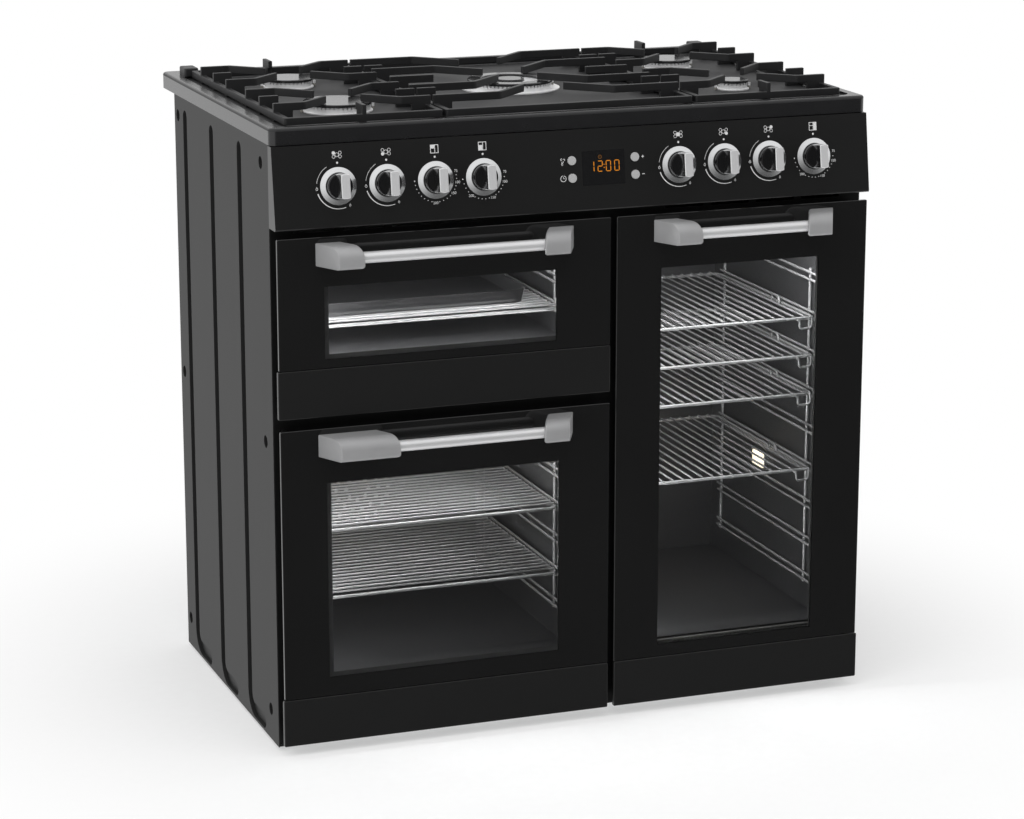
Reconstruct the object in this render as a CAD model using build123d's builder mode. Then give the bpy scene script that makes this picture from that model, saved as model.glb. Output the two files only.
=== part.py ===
from build123d import *
import os
from math import atan2, cos, degrees, sin

# A dual fuel range cooker, 900 mm wide: gas hob on top, three ovens below.
# Frame: origin on the floor, in the middle of the width and of the depth over the handles.
# +X points to the right of someone facing the doors, +Y to the wall behind, +Z up.
# Millimetres throughout.

# Overall sizes
width = 900.0
hob_depth = 600.0
height = 900.0
door_proud = 17.0
handle_reach = 43.0

# Sheet metal, clearances and the floor gap
sheet = 1.5
fit = 0.3
running = 0.05
panel_lift = 5.0

# Carcass: side panels, back panel, base tray, front frame
panel_setback = 13.0
wall_gap = 75.0
frame_sheet = 2.0
frame_lift = 10.0
tray_height = 30.0
flange = 15.0
groove_count = 3
groove_width = 22.0
groove_depth = 6.0
groove_setback = 149.0
groove_back_gap = 61.0
groove_top_gap = 28.0
toe_lift = 15.0
toe_length = 72.0
toe_bend = 25.0
recess_diameter = 18.0
recess_front = 38.0
recess_back = 20.0
recess_top = 30.0
recess_bottom = 46.0

# Door layout in the front view
door_gap = 9.5
left_door_width = 494.5
doors_bottom = 15.5
top_band = 151.0
main_door_share = 0.6299
door_step = 17.0

# Doors
pane_thickness = 5.0
pane_overhang = 2.0
pane_corner = 2.0
trim_height = 68.5
trim_proud = 1.0
trim_wall = 1.2
seam = 0.5
seal_depth = 6.0
inner_sheet = 1.2
inner_inset = 8.0
inner_pane_thickness = 4.0
window_margin = 6.0
window_corner = 3.0
hinge_inset = 14.0
hinge_depth = 11.0
pin_diameter = 5.0
pin_length = 12.0
bracket_thickness = 3.0
bracket_half = 3.5
hinge_block = 14.0

# Handles
handle_inset = 57.0
handle_drop = 8.0
handle_height = 32.0
end_width = 39.0
long_end_width = 88.0
end_lean = 21.0
end_sweep = 30.0
end_crown = 19.0
end_heel = 5.0
end_turn = 11.0
bar_diameter = 16.0
bar_standoff = 31.0
bar_drop = 26.0
bar_engagement = 12.0

# Ovens
liner_wall_gap = 95.0
mouth_corner = 2.0
liner_flange = 16.0
seal_width = 6.0
seal_offset = 3.0
seal_corner = 8.0

# Hob
lip = 24.0
hob_corner = 10.0
hob_edge = 4.0
well_inset = 16.0
well_front = 14.0
well_back = 62.0
well_depth = 4.0
well_corner = 18.0
block_width = 22.0
block_depth = 34.0
block_height = 12.0
block_inset = 30.0
block_setback = 51.0

# Pan supports
support_setback = 26.0
support_back_gap = 71.0
side_support_width = 230.0
support_margin = 28.5
support_gap = 4.0
support_rise = 22.0
rail_height = 10.0
rail_width = 8.0
rail_top = 9.0
support_corner = 4.0
blade = 6.0
arm_bend = 8.0
arm_height = 11.0
leg_length = 28.0
row_pitch = 248.0
finger_span = 71.0
finger_tip = 27.0
upright_length = 33.0
wide_finger_span = 88.0
wide_finger_tip = 32.0
wide_outer_span = 195.0
middle_blade = 67.0

# Burners
small_burner = 21.5
medium_burner = 35.0
large_burner = 47.5
wok_ring = 62.0
wok_ring_inner = 45.0
wok_core = 20.0
burner_flange = 1.5
crown_height = 9.0
slot_depth = 3.5
slot_width = 2.2
slot_pitch = 6.2
cap_thickness = 4.0
cap_overhang = 1.5
cup_depth = 28.0
electrode_diameter = 4.0
electrode_height = 8.0

# Control panel, knobs, clock and buttons
panel_gap = 11.5
panel_wall = 2.0
panel_foot_proud = 19.0
panel_head_proud = 2.5
panel_shadow_gap = 1.0
knob_rise = 57.0
knob_pitch = 70.6
left_knob_inset = 93.0
right_knob_inset = 87.0
knobs_per_side = 4
bezel_outer = 52.5
bezel_inner = 36.2
bezel_height = 3.0
knob_diameter = 35.2
knob_base_height = 12.0
grip_width = 14.0
grip_height = 36.0
spindle_diameter = 8.0
spindle_reach = 14.0
clock_gap = 116.2
clock_width = 64.5
clock_height = 48.5
clock_rise = 59.5
clock_glass = 2.0
clock_box_depth = 16.0
clock_box_wall = 4.0
button_diameter = 12.7
button_proud = 2.0
button_travel = 1.5
button_offset = 48.0
button_spread = 24.5
button_board = 6.0
button_stem = 5.0
vent_height = 8.0
vent_width = 60.0
vent_pitch = 72.0
vent_inset = 172.0

# Gas rail, taps and oven switches behind the control panel
tap_diameter = 26.0
tap_length = 36.0
tap_setback = 8.0
switch_width = 40.0
rail_size = 18.0
pipe_diameter = 16.0
pipe_inset = 55.0
inlet_diameter = 20.96
inlet_length = 18.0
inlet_nut = 27.0

# Wire racks and shelves
rack_wire = 4.0
rack_post = 5.0
rack_loop = 11.0
weld = 1.0
rack_front = 30.0
rack_back_gap = 40.0
shelf_rim = 5.0
shelf_bar = 3.2
shelf_corner = 12.0
tall_runner_count = 9
tall_runner_first = 51.5
tall_runner_last = 67.1
tall_shelves = (3, 5, 6, 7)
main_runner_count = 5
main_runner_first = 56.5
main_runner_last = 67.5
main_shelves = (1, 3)
top_runner_count = 2
top_runner_first = 43.0
top_runner_last = 73.0
top_shelves = (0,)
tall_bar_pitch = 16.0
main_bar_pitch = 15.0
tray_width = 320.0
tray_depth = 270.0
tray_rim = 20.0

# Fan, elements and lamps
fan_diameter = 140.0
fan_blades = 12
fan_depth = 14.0
shaft_diameter = 8.0
cover_width = 250.0
cover_height = 240.0
cover_depth = 30.0
element_wire = 6.5
terminal_diameter = 9.0
ring_diameter = 190.0
motor_diameter = 64.0
motor_length = 45.0
lamp_width = 45.0
lamp_height = 31.0
lamp_depth = 8.0
lamp_setback = 227.0
tall_lamp_runner = 2.42
main_lamp_drop = 33.0

# Feet and mains terminal
foot_diameter = 38.0
foot_pad = 8.0
stem_diameter = 10.0
stem_length = 45.0
foot_inset = 60.0
foot_setback = 75.0
boss_wall = 6.0
terminal_width = 110.0
terminal_height = 80.0
terminal_depth = 35.0
terminal_wall = 2.5
terminal_rise = 140.0
terminal_inset = 130.0
cable_hole = 20.0
bracket_hole = 5.0
bracket_hole_spread = 100.0
bracket_hole_drop = 200.0

# Planes and lines that the pieces share
half_width = width / 2
hob_back = (hob_depth + door_proud + handle_reach) / 2
hob_front = hob_back - hob_depth
door_face = hob_front - door_proud
carcass_front = hob_front + panel_setback
carcass_back = hob_back - wall_gap
carcass_depth = carcass_back - carcass_front
frame_back = carcass_front + frame_sheet
door_back = carcass_front - seal_depth
door_inner_front = door_face + pane_thickness
hob_underside = height - lip
well_floor = height - well_depth
inner_half = half_width - sheet
liner_back = carcass_back - liner_wall_gap
liner_depth = liner_back - frame_back
rack_depth = liner_depth - rack_front - rack_back_gap
rack_inset = fit + rack_post + rack_wire / 2 - weld
shelf_drop = (rack_loop - rack_wire - shelf_rim) / 2 - fit
shelf_top = shelf_rim / 2 + shelf_bar - weld
hinge_line = door_face + hinge_depth
doors_top = height - top_band
panel_bottom = doors_top + panel_gap
panel_top = hob_underside - panel_shadow_gap
panel_foot = hob_front - panel_foot_proud
panel_head = hob_front - panel_head_proud
panel_lean = atan2(panel_head - panel_foot, panel_top - panel_bottom)
right_side = Plane.YZ.offset(half_width)


def facing(y):
    """An upright plane at depth y: local x is X, local y is Z, and it faces the cook."""
    return Plane(origin=(0, y, 0), x_dir=(1, 0, 0), z_dir=(0, -1, 0))


def on_panel(x, rise, out=0.0):
    """A plane on the leaning control panel, rise above its foot, out ahead of its face."""
    depth = panel_foot + rise * sin(panel_lean) / cos(panel_lean)
    face = Plane(
        origin=(x, depth, panel_bottom + rise),
        x_dir=(1, 0, 0),
        z_dir=(0, -cos(panel_lean), sin(panel_lean)),
    )
    return face.offset(out)


def save(piece, name):
    """Name one finished sub-part and write it."""
    piece.label = name
    export_step(piece, f"parts/{name}.step")


class Area:
    """An upright rectangle in the front view."""

    def __init__(self, left, right, bottom, top):
        self.left = left
        self.right = right
        self.bottom = bottom
        self.top = top
        self.width = right - left
        self.height = top - bottom
        self.centre = ((left + right) / 2, (bottom + top) / 2)

    def inset(self, left, right, bottom, top):
        return Area(self.left + left, self.right - right, self.bottom + bottom, self.top - top)

    def grown(self, by):
        return self.inset(-by, -by, -by, -by)


def area_face(area, corner):
    """Draw an area with rounded corners in the sketch that is open."""
    with Locations(area.centre):
        RectangleRounded(area.width, area.height, corner)


def area_hole(area, corner):
    """Cut an area with rounded corners out of the sketch that is open."""
    with Locations(area.centre):
        RectangleRounded(area.width, area.height, corner, mode=Mode.SUBTRACT)


os.makedirs("parts", exist_ok=True)

# Door areas, and the windows and oven mouths that lie inside them
left_door_right = -half_width + left_door_width
main_door_top = doors_bottom + main_door_share * (doors_top - doors_bottom)
main_area = Area(-half_width, left_door_right, doors_bottom, main_door_top)
top_area = Area(-half_width, left_door_right, main_door_top + door_step, doors_top)
tall_area = Area(left_door_right + door_gap, half_width, doors_bottom, doors_top)

top_window = top_area.inset(68.5, 82.0, 81.5, 69.5)
main_window = main_area.inset(68.5, 77.5, 96.5, 78.5)
tall_window = tall_area.inset(69.0, 78.0, 87.0, 78.5)

top_mouth = top_area.inset(37.0, 47.5, 71.5, 27.0)
main_mouth = main_area.inset(37.0, 47.5, 88.5, 49.5)
tall_mouth = tall_area.inset(45.0, 45.0, 89.5, 59.0)
mouths = (top_mouth, main_mouth, tall_mouth)


def runner_heights(mouth, first, last, count):
    """Heights of the rack runners, between the first and the last of them in a mouth."""
    pitch = (mouth.height - first - last) / (count - 1)
    return [mouth.bottom + first + runner * pitch for runner in range(count)]


tall_runners = runner_heights(
    tall_mouth, tall_runner_first, tall_runner_last, tall_runner_count
)
main_runners = runner_heights(
    main_mouth, main_runner_first, main_runner_last, main_runner_count
)
top_runners = runner_heights(top_mouth, top_runner_first, top_runner_last, top_runner_count)

# Side panels: folded sheet with three pressed grooves that turn to the front at the foot
groove_top = hob_underside - groove_top_gap
toe_height = panel_lift + toe_lift
recess_high = hob_underside - recess_top
groove_pitch = (carcass_depth - groove_setback - groove_back_gap) / (groove_count - 1)
recess_low = panel_lift + recess_bottom
recess_places = [
    (y, z)
    for y in (carcass_front + recess_front, carcass_back - recess_back)
    for z in (recess_low, (recess_low + recess_high) / 2, recess_high)
]
with BuildPart() as side_panel_right:
    with BuildSketch(right_side):
        with Locations((carcass_front, panel_lift)):
            Rectangle(carcass_depth, hob_underside - panel_lift, align=(Align.MIN, Align.MIN))
    extrude(amount=-sheet)
    for edge, rise in ((panel_lift, sheet), (hob_underside, -sheet)):
        with BuildSketch(Plane.XY.offset(edge)):
            with Locations((half_width, carcass_front + frame_sheet + fit)):
                Rectangle(
                    flange,
                    carcass_depth - frame_sheet - sheet - 2 * fit,
                    align=(Align.MAX, Align.MIN),
                )
        extrude(amount=rise)
    for wall, mode in ((sheet, Mode.ADD), (0, Mode.SUBTRACT)):
        with BuildSketch(right_side):
            for groove in range(groove_count):
                y = carcass_front + groove_setback + groove * groove_pitch
                with BuildLine():
                    FilletPolyline(
                        (y, groove_top),
                        (y, toe_height),
                        (y - toe_length, toe_height),
                        radius=toe_bend,
                    )
                trace(line_width=groove_width + 2 * wall)
                with Locations((y, groove_top), (y - toe_length, toe_height)):
                    Circle(groove_width / 2 + wall)
            with Locations(recess_places):
                Circle(recess_diameter / 2 + wall)
        extrude(amount=-(groove_depth + wall), mode=mode)
save(side_panel_right.part, "side_panel_right")

with BuildPart() as side_panel_left:
    mirror(side_panel_right.part, about=Plane.YZ)
save(side_panel_left.part, "side_panel_left")

# Gas pipe and tap places, which the back panel's hole and the rail share
tap_end = -(tap_setback + tap_length)
rail_plane = on_panel(0, knob_rise, tap_end)
pipe_x = half_width - pipe_inset
rail_centre = rail_plane.offset(-rail_size / 2).origin

# Back panel: vented sheet between the side panels
terminal_x = half_width - terminal_inset
with BuildPart() as back_panel:
    with BuildSketch(facing(carcass_back)):
        with Locations((0, frame_lift)):
            Rectangle(
                2 * inner_half,
                hob_underside - sheet - frame_lift,
                align=(Align.CENTER, Align.MIN),
            )
        with Locations((0, height / 2)):
            with GridLocations(110, 26, 5, 5):
                SlotOverall(80, 8, mode=Mode.SUBTRACT)
        with Locations((pipe_x, rail_centre.Z)):
            Circle(pipe_diameter / 2 + running, mode=Mode.SUBTRACT)
        with Locations((0, height - bracket_hole_drop)):
            with GridLocations(bracket_hole_spread, 1, 2, 1):
                Circle(bracket_hole / 2, mode=Mode.SUBTRACT)
    extrude(amount=sheet)
save(back_panel.part, "back_panel")

# Base tray: floor of the carcass with a threaded boss over each foot
foot_x = half_width - foot_inset
foot_front = carcass_front + foot_setback
foot_rear = carcass_back - foot_setback
foot_places = {
    "foot_front_left": (-foot_x, foot_front),
    "foot_front_right": (foot_x, foot_front),
    "foot_rear_left": (-foot_x, foot_rear),
    "foot_rear_right": (foot_x, foot_rear),
}
boss_bottom = foot_pad + fit
tray_half = half_width - groove_depth - sheet - fit
with BuildPart() as base_tray:
    with BuildSketch(Plane.XY.offset(tray_height)):
        with Locations((0, frame_back)):
            Rectangle(
                2 * tray_half,
                carcass_back - sheet - frame_back,
                align=(Align.CENTER, Align.MIN),
            )
    extrude(amount=sheet)
    with BuildSketch(Plane.XY.offset(boss_bottom)):
        with Locations(*foot_places.values()):
            Circle(stem_diameter / 2 + boss_wall)
    extrude(amount=tray_height - boss_bottom)
    with BuildSketch(Plane.XY.offset(boss_bottom)):
        with Locations(*foot_places.values()):
            Circle(stem_diameter / 2 + running)
    extrude(amount=tray_height + sheet - boss_bottom, mode=Mode.SUBTRACT)
save(base_tray.part, "base_tray")

# Levelling feet: a round pad on a threaded stem
for foot_name, (x, y) in foot_places.items():
    with BuildPart() as foot:
        with BuildSketch():
            with Locations((x, y)):
                Circle(foot_diameter / 2)
        extrude(amount=foot_pad)
        chamfer(foot.edges().filter_by(GeomType.CIRCLE).sort_by(Axis.Z)[-1], foot_pad / 3)
        with BuildSketch(Plane.XY.offset(foot_pad)):
            with Locations((x, y)):
                Circle(stem_diameter / 2)
        extrude(amount=stem_length)
    save(foot.part, foot_name)

# Front frame: pressed plate with the vent slots, the cross rail welded in between the two left
# oven mouths, and the hinge brackets with their pins standing in front of it
frame_area = Area(-inner_half, inner_half, frame_lift, panel_bottom + flange / 2)
vent_height_at = (doors_top + panel_bottom) / 2


def side_bracket(x, plate_bottom, pin_bottom):
    """A bracket welded to the front of the frame, with an upright hinge pin."""
    reach = carcass_front - hinge_line
    with BuildPart() as bracket:
        with BuildSketch(Plane.XY.offset(plate_bottom)):
            with Locations((x, hinge_line)):
                Circle(bracket_half)
                Rectangle(2 * bracket_half, reach, align=(Align.CENTER, Align.MIN))
        extrude(amount=bracket_thickness)
        with BuildSketch(Plane.XY.offset(pin_bottom)):
            with Locations((x, hinge_line)):
                Circle(pin_diameter / 2)
        extrude(amount=bracket_thickness + fit + pin_length)
    return bracket.part


def level_bracket(plate_left, pin_left, z):
    """A bracket welded to the front of the frame, with a level hinge pin."""
    reach = carcass_front - hinge_line
    with BuildPart() as bracket:
        with BuildSketch(Plane.YZ.offset(plate_left)):
            with Locations((hinge_line, z)):
                Circle(bracket_half)
                Rectangle(reach, 2 * bracket_half, align=(Align.MIN, Align.CENTER))
        extrude(amount=bracket_thickness)
        with BuildSketch(Plane.YZ.offset(pin_left)):
            with Locations((hinge_line, z)):
                Circle(pin_diameter / 2)
        extrude(amount=bracket_thickness + fit + pin_length)
    return bracket.part


main_hinge_x = main_area.left + pane_overhang + hinge_inset
tall_hinge_x = tall_area.right - pane_overhang - hinge_inset
top_hinge_z = top_area.bottom + hinge_inset
left_column = Area(main_mouth.left, main_mouth.right, main_mouth.bottom, top_mouth.top)
cross_rail = left_column.inset(
    0, 0, main_mouth.top - main_mouth.bottom, top_mouth.top - top_mouth.bottom
)
with BuildPart() as front_frame:
    with BuildSketch(facing(carcass_front)):
        area_face(frame_area, 1.0)
        area_hole(left_column, mouth_corner)
        area_hole(tall_mouth, mouth_corner)
        for side in (-1, 1):
            with Locations((side * (half_width - vent_inset), vent_height_at)):
                with GridLocations(vent_pitch, 1, 4, 1):
                    Rectangle(vent_width, vent_height, mode=Mode.SUBTRACT)
    extrude(amount=-frame_sheet)
    for area, x in ((main_area, main_hinge_x), (tall_area, tall_hinge_x)):
        low = area.bottom + inner_inset - fit - bracket_thickness
        high = area.top - inner_inset + fit
        add(side_bracket(x, low, low))
        add(side_bracket(x, high, high - pin_length - fit))
    left_plate = top_area.left + pane_overhang + inner_inset - fit - bracket_thickness
    right_plate = top_area.right - inner_inset + fit
    add(level_bracket(left_plate, left_plate, top_hinge_z))
    add(level_bracket(right_plate, right_plate - pin_length - fit, top_hinge_z))
    with BuildSketch(facing(carcass_front)):
        with Locations(cross_rail.centre):
            Rectangle(cross_rail.width - 2 * running, cross_rail.height)
    extrude(amount=-frame_sheet)
save(front_frame.part, "front_frame")


# Oven liners: four enamelled walls, each with its front edge folded out as a flange behind the
# frame, welded along the corners, and a back let in between them
def edging(mouth, by):
    """Four strips round a mouth; the upright ones run past the ends of the level ones."""
    return (
        Area(mouth.left - by, mouth.left, mouth.bottom - by, mouth.top + by),
        Area(mouth.right, mouth.right + by, mouth.bottom - by, mouth.top + by),
        Area(mouth.left + running, mouth.right - running, mouth.bottom - by, mouth.bottom),
        Area(mouth.left + running, mouth.right - running, mouth.top, mouth.top + by),
    )


def liner(mouth, name, shaft_hole=None):
    """One oven box, with a hole for the fan shaft where it has one."""
    with BuildPart() as box:
        with BuildSketch(facing(frame_back)):
            for wall in edging(mouth, sheet):
                with Locations(wall.centre):
                    Rectangle(wall.width, wall.height)
        extrude(amount=-(liner_depth + sheet))
        with BuildSketch(facing(frame_back)):
            for flange_strip in edging(mouth, liner_flange):
                with Locations(flange_strip.centre):
                    Rectangle(flange_strip.width, flange_strip.height)
        extrude(amount=-sheet)
        with BuildSketch(facing(liner_back)):
            with Locations(mouth.centre):
                Rectangle(mouth.width - 2 * running, mouth.height - 2 * running)
            if shaft_hole:
                with Locations(shaft_hole):
                    Circle(shaft_diameter / 2 + fit, mode=Mode.SUBTRACT)
        extrude(amount=-sheet)
    save(box.part, name)


fan_centre = main_mouth.centre
liner(top_mouth, "top_oven_liner")
liner(main_mouth, "main_oven_liner", shaft_hole=fan_centre)
liner(tall_mouth, "tall_oven_liner")

# Door seals: heat-proof ropes around the mouths
with BuildPart() as door_seals:
    with BuildSketch(facing(carcass_front)):
        for mouth in mouths:
            area_face(mouth.grown(seal_offset + seal_width), seal_corner + seal_width)
            area_hole(mouth.grown(seal_offset), seal_corner)
    extrude(amount=seal_depth - fit)
    fillet(door_seals.faces().sort_by(Axis.Y)[:3].edges(), 1.5)
save(door_seals.part, "door_seals")


# Doors
def door_panes(name, area, window, outer_left, outer_right):
    """The printed outer pane and the clear inner pane."""
    pane = area.inset(outer_left, outer_right, trim_height + seam, 0)
    with BuildPart() as panes:
        with BuildSketch(facing(door_inner_front)):
            area_face(pane, pane_corner)
        extrude(amount=pane_thickness)
        chamfer(panes.faces().sort_by(Axis.Y)[0].edges(), pane_thickness / 8)
        with BuildSketch(facing(door_back)):
            area_face(window.grown(window_margin - running), window_corner)
        extrude(amount=inner_pane_thickness)
    save(panes.part, name)


def door_trim(name, area):
    """The folded strip below the outer pane."""
    strip = Area(area.left, area.right, area.bottom, area.bottom + trim_height)
    with BuildPart() as trim:
        with BuildSketch(facing(door_inner_front)):
            area_face(strip, pane_corner)
        extrude(amount=pane_thickness + trim_proud)
        fillet(trim.faces().sort_by(Axis.Y)[0].edges(), trim_wall)
        with BuildSketch(facing(door_inner_front)):
            area_face(strip.grown(-trim_wall), pane_corner / 2)
        extrude(amount=pane_thickness + trim_proud - trim_wall, mode=Mode.SUBTRACT)
    save(trim.part, name)


def door_inner(name, area, window, outer_left, outer_right, level_pins):
    """The sheet-steel inner frame, hollow, with a solid block at each hinge pin."""
    outer = area.inset(outer_left, outer_right, 0, 0).grown(-inner_inset)
    opening = window.grown(window_margin)
    depth = door_back - door_inner_front
    if level_pins:
        bores = [
            Plane(origin=(outer.left, hinge_line, top_hinge_z), z_dir=(1, 0, 0)),
            Plane(origin=(outer.right, hinge_line, top_hinge_z), z_dir=(-1, 0, 0)),
        ]
    else:
        hinge_x = main_hinge_x if outer_left else tall_hinge_x
        bores = [
            Plane(origin=(hinge_x, hinge_line, outer.bottom), z_dir=(0, 0, 1)),
            Plane(origin=(hinge_x, hinge_line, outer.top), z_dir=(0, 0, -1)),
        ]
    with BuildPart() as inner:
        with BuildSketch(facing(door_back)):
            area_face(outer, pane_corner)
            area_hole(opening, window_corner)
        extrude(amount=depth)
        with BuildSketch(facing(door_back - inner_sheet)):
            area_face(outer.grown(-inner_sheet), pane_corner)
            area_hole(opening.grown(inner_sheet), window_corner)
        extrude(amount=depth, mode=Mode.SUBTRACT)
        with BuildSketch(facing(door_back)):
            for bore in bores:
                middle = bore.offset(hinge_block / 2).origin
                with Locations((middle.X, middle.Z)):
                    Rectangle(hinge_block, hinge_block)
            with Locations(outer.centre):
                Rectangle(outer.width, outer.height, mode=Mode.INTERSECT)
        extrude(amount=depth)
        for bore in bores:
            with BuildSketch(bore):
                Circle(pin_diameter / 2 + running)
            extrude(amount=pin_length + fit, mode=Mode.SUBTRACT)
    save(inner.part, name)


def handle(prefix, area, left_width, right_width):
    """A round bar between two leaning, round-shouldered ends."""
    top = area.top - handle_drop
    bottom = top - handle_height
    front = door_face - handle_reach
    left = area.left + handle_inset
    right = area.right - handle_inset
    bar_y = door_face - bar_standoff
    bar_z = area.top - bar_drop
    bar_lean = end_sweep * bar_standoff / handle_reach
    bar_left = left + left_width + bar_lean - bar_engagement
    bar_right = right - right_width - bar_lean + bar_engagement
    with BuildPart() as ends:
        for outer, foot, inward in ((left, left_width, 1), (right, right_width, -1)):
            with BuildSketch(Plane.XY.offset(bottom)) as plan:
                with BuildLine():
                    Polyline(
                        (outer, door_face),
                        (outer + inward * foot, door_face),
                        (outer + inward * (foot + end_sweep), front),
                        (outer + inward * end_lean, front),
                        close=True,
                    )
                make_face()
                nose = plan.vertices().sort_by(Axis.Y)[:2].sort_by(Axis.X)
                fillet(nose[-1] if inward > 0 else nose[0], end_turn)
            extrude(amount=handle_height)
        with BuildSketch(Plane.YZ.offset(area.left)) as side:
            with Locations((door_face, bottom)):
                Rectangle(handle_reach, handle_height, align=(Align.MAX, Align.MIN))
            shoulder = side.vertices().sort_by(Axis.X)[:2].sort_by(Axis.Y)
            fillet(shoulder[-1], end_crown)
            fillet(side.vertices().sort_by(Axis.Y)[:2].sort_by(Axis.X)[0], end_heel)
        extrude(amount=area.width, mode=Mode.INTERSECT)
        with BuildSketch(Plane.YZ.offset(bar_left - fit)):
            with Locations((bar_y, bar_z)):
                Circle(bar_diameter / 2 + running)
        extrude(amount=bar_right - bar_left + 2 * fit, mode=Mode.SUBTRACT)
    save(ends.part, f"{prefix}_handle_ends")
    with BuildPart() as bar:
        with BuildSketch(Plane.YZ.offset(bar_left)):
            with Locations((bar_y, bar_z)):
                Circle(bar_diameter / 2)
        extrude(amount=bar_right - bar_left)
        chamfer(bar.edges().filter_by(GeomType.CIRCLE), bar_diameter / 16)
    save(bar.part, f"{prefix}_handle_bar")


door_panes("top_door_panes", top_area, top_window, pane_overhang, 0)
door_panes("main_door_panes", main_area, main_window, pane_overhang, 0)
door_panes("tall_door_panes", tall_area, tall_window, 0, pane_overhang)
door_trim("top_door_trim", top_area)
door_trim("main_door_trim", main_area)
door_trim("tall_door_trim", tall_area)
door_inner("top_door_inner", top_area, top_window, pane_overhang, 0, True)
door_inner("main_door_inner", main_area, main_window, pane_overhang, 0, False)
door_inner("tall_door_inner", tall_area, tall_window, 0, pane_overhang, False)
handle("top_door", top_area, end_width, end_width)
handle("main_door", main_area, long_end_width, end_width)
handle("tall_door", tall_area, end_width, end_width)

# Burner places: two rows of two, and the wok burner in the middle
support_depth = hob_depth - support_setback - support_back_gap
support_centre = hob_front + support_setback + support_depth / 2
side_centre = half_width - support_margin - side_support_width / 2
rear_row = support_centre + row_pitch / 2
front_row = support_centre - row_pitch / 2
burners = [
    (-side_centre, rear_row, medium_burner),
    (-side_centre, front_row, large_burner),
    (side_centre, rear_row, medium_burner),
    (side_centre, front_row, small_burner),
]
wok_place = (0, support_centre)
cup_clearance = 5.0

# Hob plate: pressed enamelled sheet with a turned-down lip, a sunk well and two stop blocks
well = (2 * (half_width - well_inset), hob_depth - well_front - well_back)
well_middle = (0, hob_front + well_front + well[1] / 2)
plate_middle = (0, hob_front + hob_depth / 2)
with BuildPart() as hob_plate:
    with BuildSketch(Plane.XY.offset(hob_underside)):
        with Locations(plate_middle):
            RectangleRounded(width, hob_depth, hob_corner)
    extrude(amount=lip)
    fillet(hob_plate.faces().sort_by(Axis.Z)[-1].edges(), hob_edge)
    with BuildSketch(Plane.XY.offset(height)):
        with Locations(well_middle):
            RectangleRounded(well[0], well[1], well_corner)
    extrude(amount=-well_depth, mode=Mode.SUBTRACT)
    with BuildSketch(Plane.XY.offset(hob_underside)):
        with Locations(plate_middle):
            RectangleRounded(width - 2 * sheet, hob_depth - 2 * sheet, hob_corner - sheet)
    extrude(amount=lip - well_depth - sheet, mode=Mode.SUBTRACT)
    with BuildSketch(Plane.XY.offset(height - well_depth - sheet)):
        with Locations(plate_middle):
            RectangleRounded(width - 2 * hob_edge, hob_depth - 2 * hob_edge, hob_corner - sheet)
        with Locations(well_middle):
            RectangleRounded(
                well[0] + 2 * sheet, well[1] + 2 * sheet, well_corner + sheet, mode=Mode.SUBTRACT
            )
    extrude(amount=well_depth, mode=Mode.SUBTRACT)
    with BuildSketch(Plane.XY.offset(hob_underside)):
        for x, y, radius in burners:
            with Locations((x, y)):
                Circle(radius - cup_clearance + fit)
        with Locations(wok_place):
            Circle(wok_ring - cup_clearance + fit)
    extrude(amount=lip, mode=Mode.SUBTRACT)
    with BuildSketch(Plane.XY.offset(height + running)):
        for side in (-1, 1):
            with Locations((side * (half_width - block_inset), hob_back - block_setback)):
                RectangleRounded(block_width, block_depth, block_width / 6)
    blocks = extrude(amount=block_height)
    fillet(hob_plate.faces().filter_by(Plane.XY).sort_by(Axis.Z)[-2:].edges(), 2.0)
save(hob_plate.part, "hob_plate")

# Burners: base cups with electrode and flame probe, slotted crowns, caps
wok_base_rim = 12.0
crown_floor = well_floor + burner_flange
cap_floor = crown_floor + crown_height
with BuildPart() as burner_bases:
    for x, y, radius in burners:
        with BuildSketch(Plane.XY.offset(well_floor)):
            with Locations((x, y)):
                Circle(radius + 2 * cap_overhang)
        extrude(amount=burner_flange)
        with BuildSketch(Plane.XY.offset(well_floor)):
            with Locations((x, y)):
                Circle(radius - cup_clearance)
        extrude(amount=-cup_depth)
    with BuildSketch(Plane.XY.offset(well_floor)):
        with Locations(wok_place):
            Circle(wok_ring + wok_base_rim)
    extrude(amount=burner_flange)
    with BuildSketch(Plane.XY.offset(well_floor)):
        with Locations(wok_place):
            Circle(wok_ring - cup_clearance)
    extrude(amount=-cup_depth)
    stub_offset = cap_overhang + electrode_diameter
    with BuildSketch(Plane.XY.offset(well_floor + running)):
        for x, y, radius in burners:
            for side in (-1, 1):
                with Locations((x + side * (radius + stub_offset), y)):
                    Circle(electrode_diameter / 2)
    extrude(amount=electrode_height)
    with BuildSketch(Plane.XY.offset(crown_floor + running)):
        for side in (-1, 1):
            with Locations((side * (wok_ring + stub_offset), support_centre)):
                Circle(electrode_diameter / 2)
    extrude(amount=electrode_height)
save(burner_bases.part, "burner_bases")

with BuildPart() as burner_crowns:
    with BuildSketch(Plane.XY.offset(crown_floor)):
        for x, y, radius in burners:
            with Locations((x, y)):
                Circle(radius)
        with Locations(wok_place):
            Circle(wok_ring)
            Circle(wok_ring_inner, mode=Mode.SUBTRACT)
            Circle(wok_core)
    extrude(amount=crown_height)
    with BuildSketch(Plane.XY.offset(cap_floor)):
        rings = [*burners, (*wok_place, wok_ring), (*wok_place, wok_core)]
        for x, y, radius in rings:
            with Locations((x, y)):
                with PolarLocations(radius, round(2 * 3.1416 * radius / slot_pitch)):
                    Rectangle(2 * slot_depth, slot_width)
    extrude(amount=-slot_depth, mode=Mode.SUBTRACT)
save(burner_crowns.part, "burner_crowns")

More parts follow.
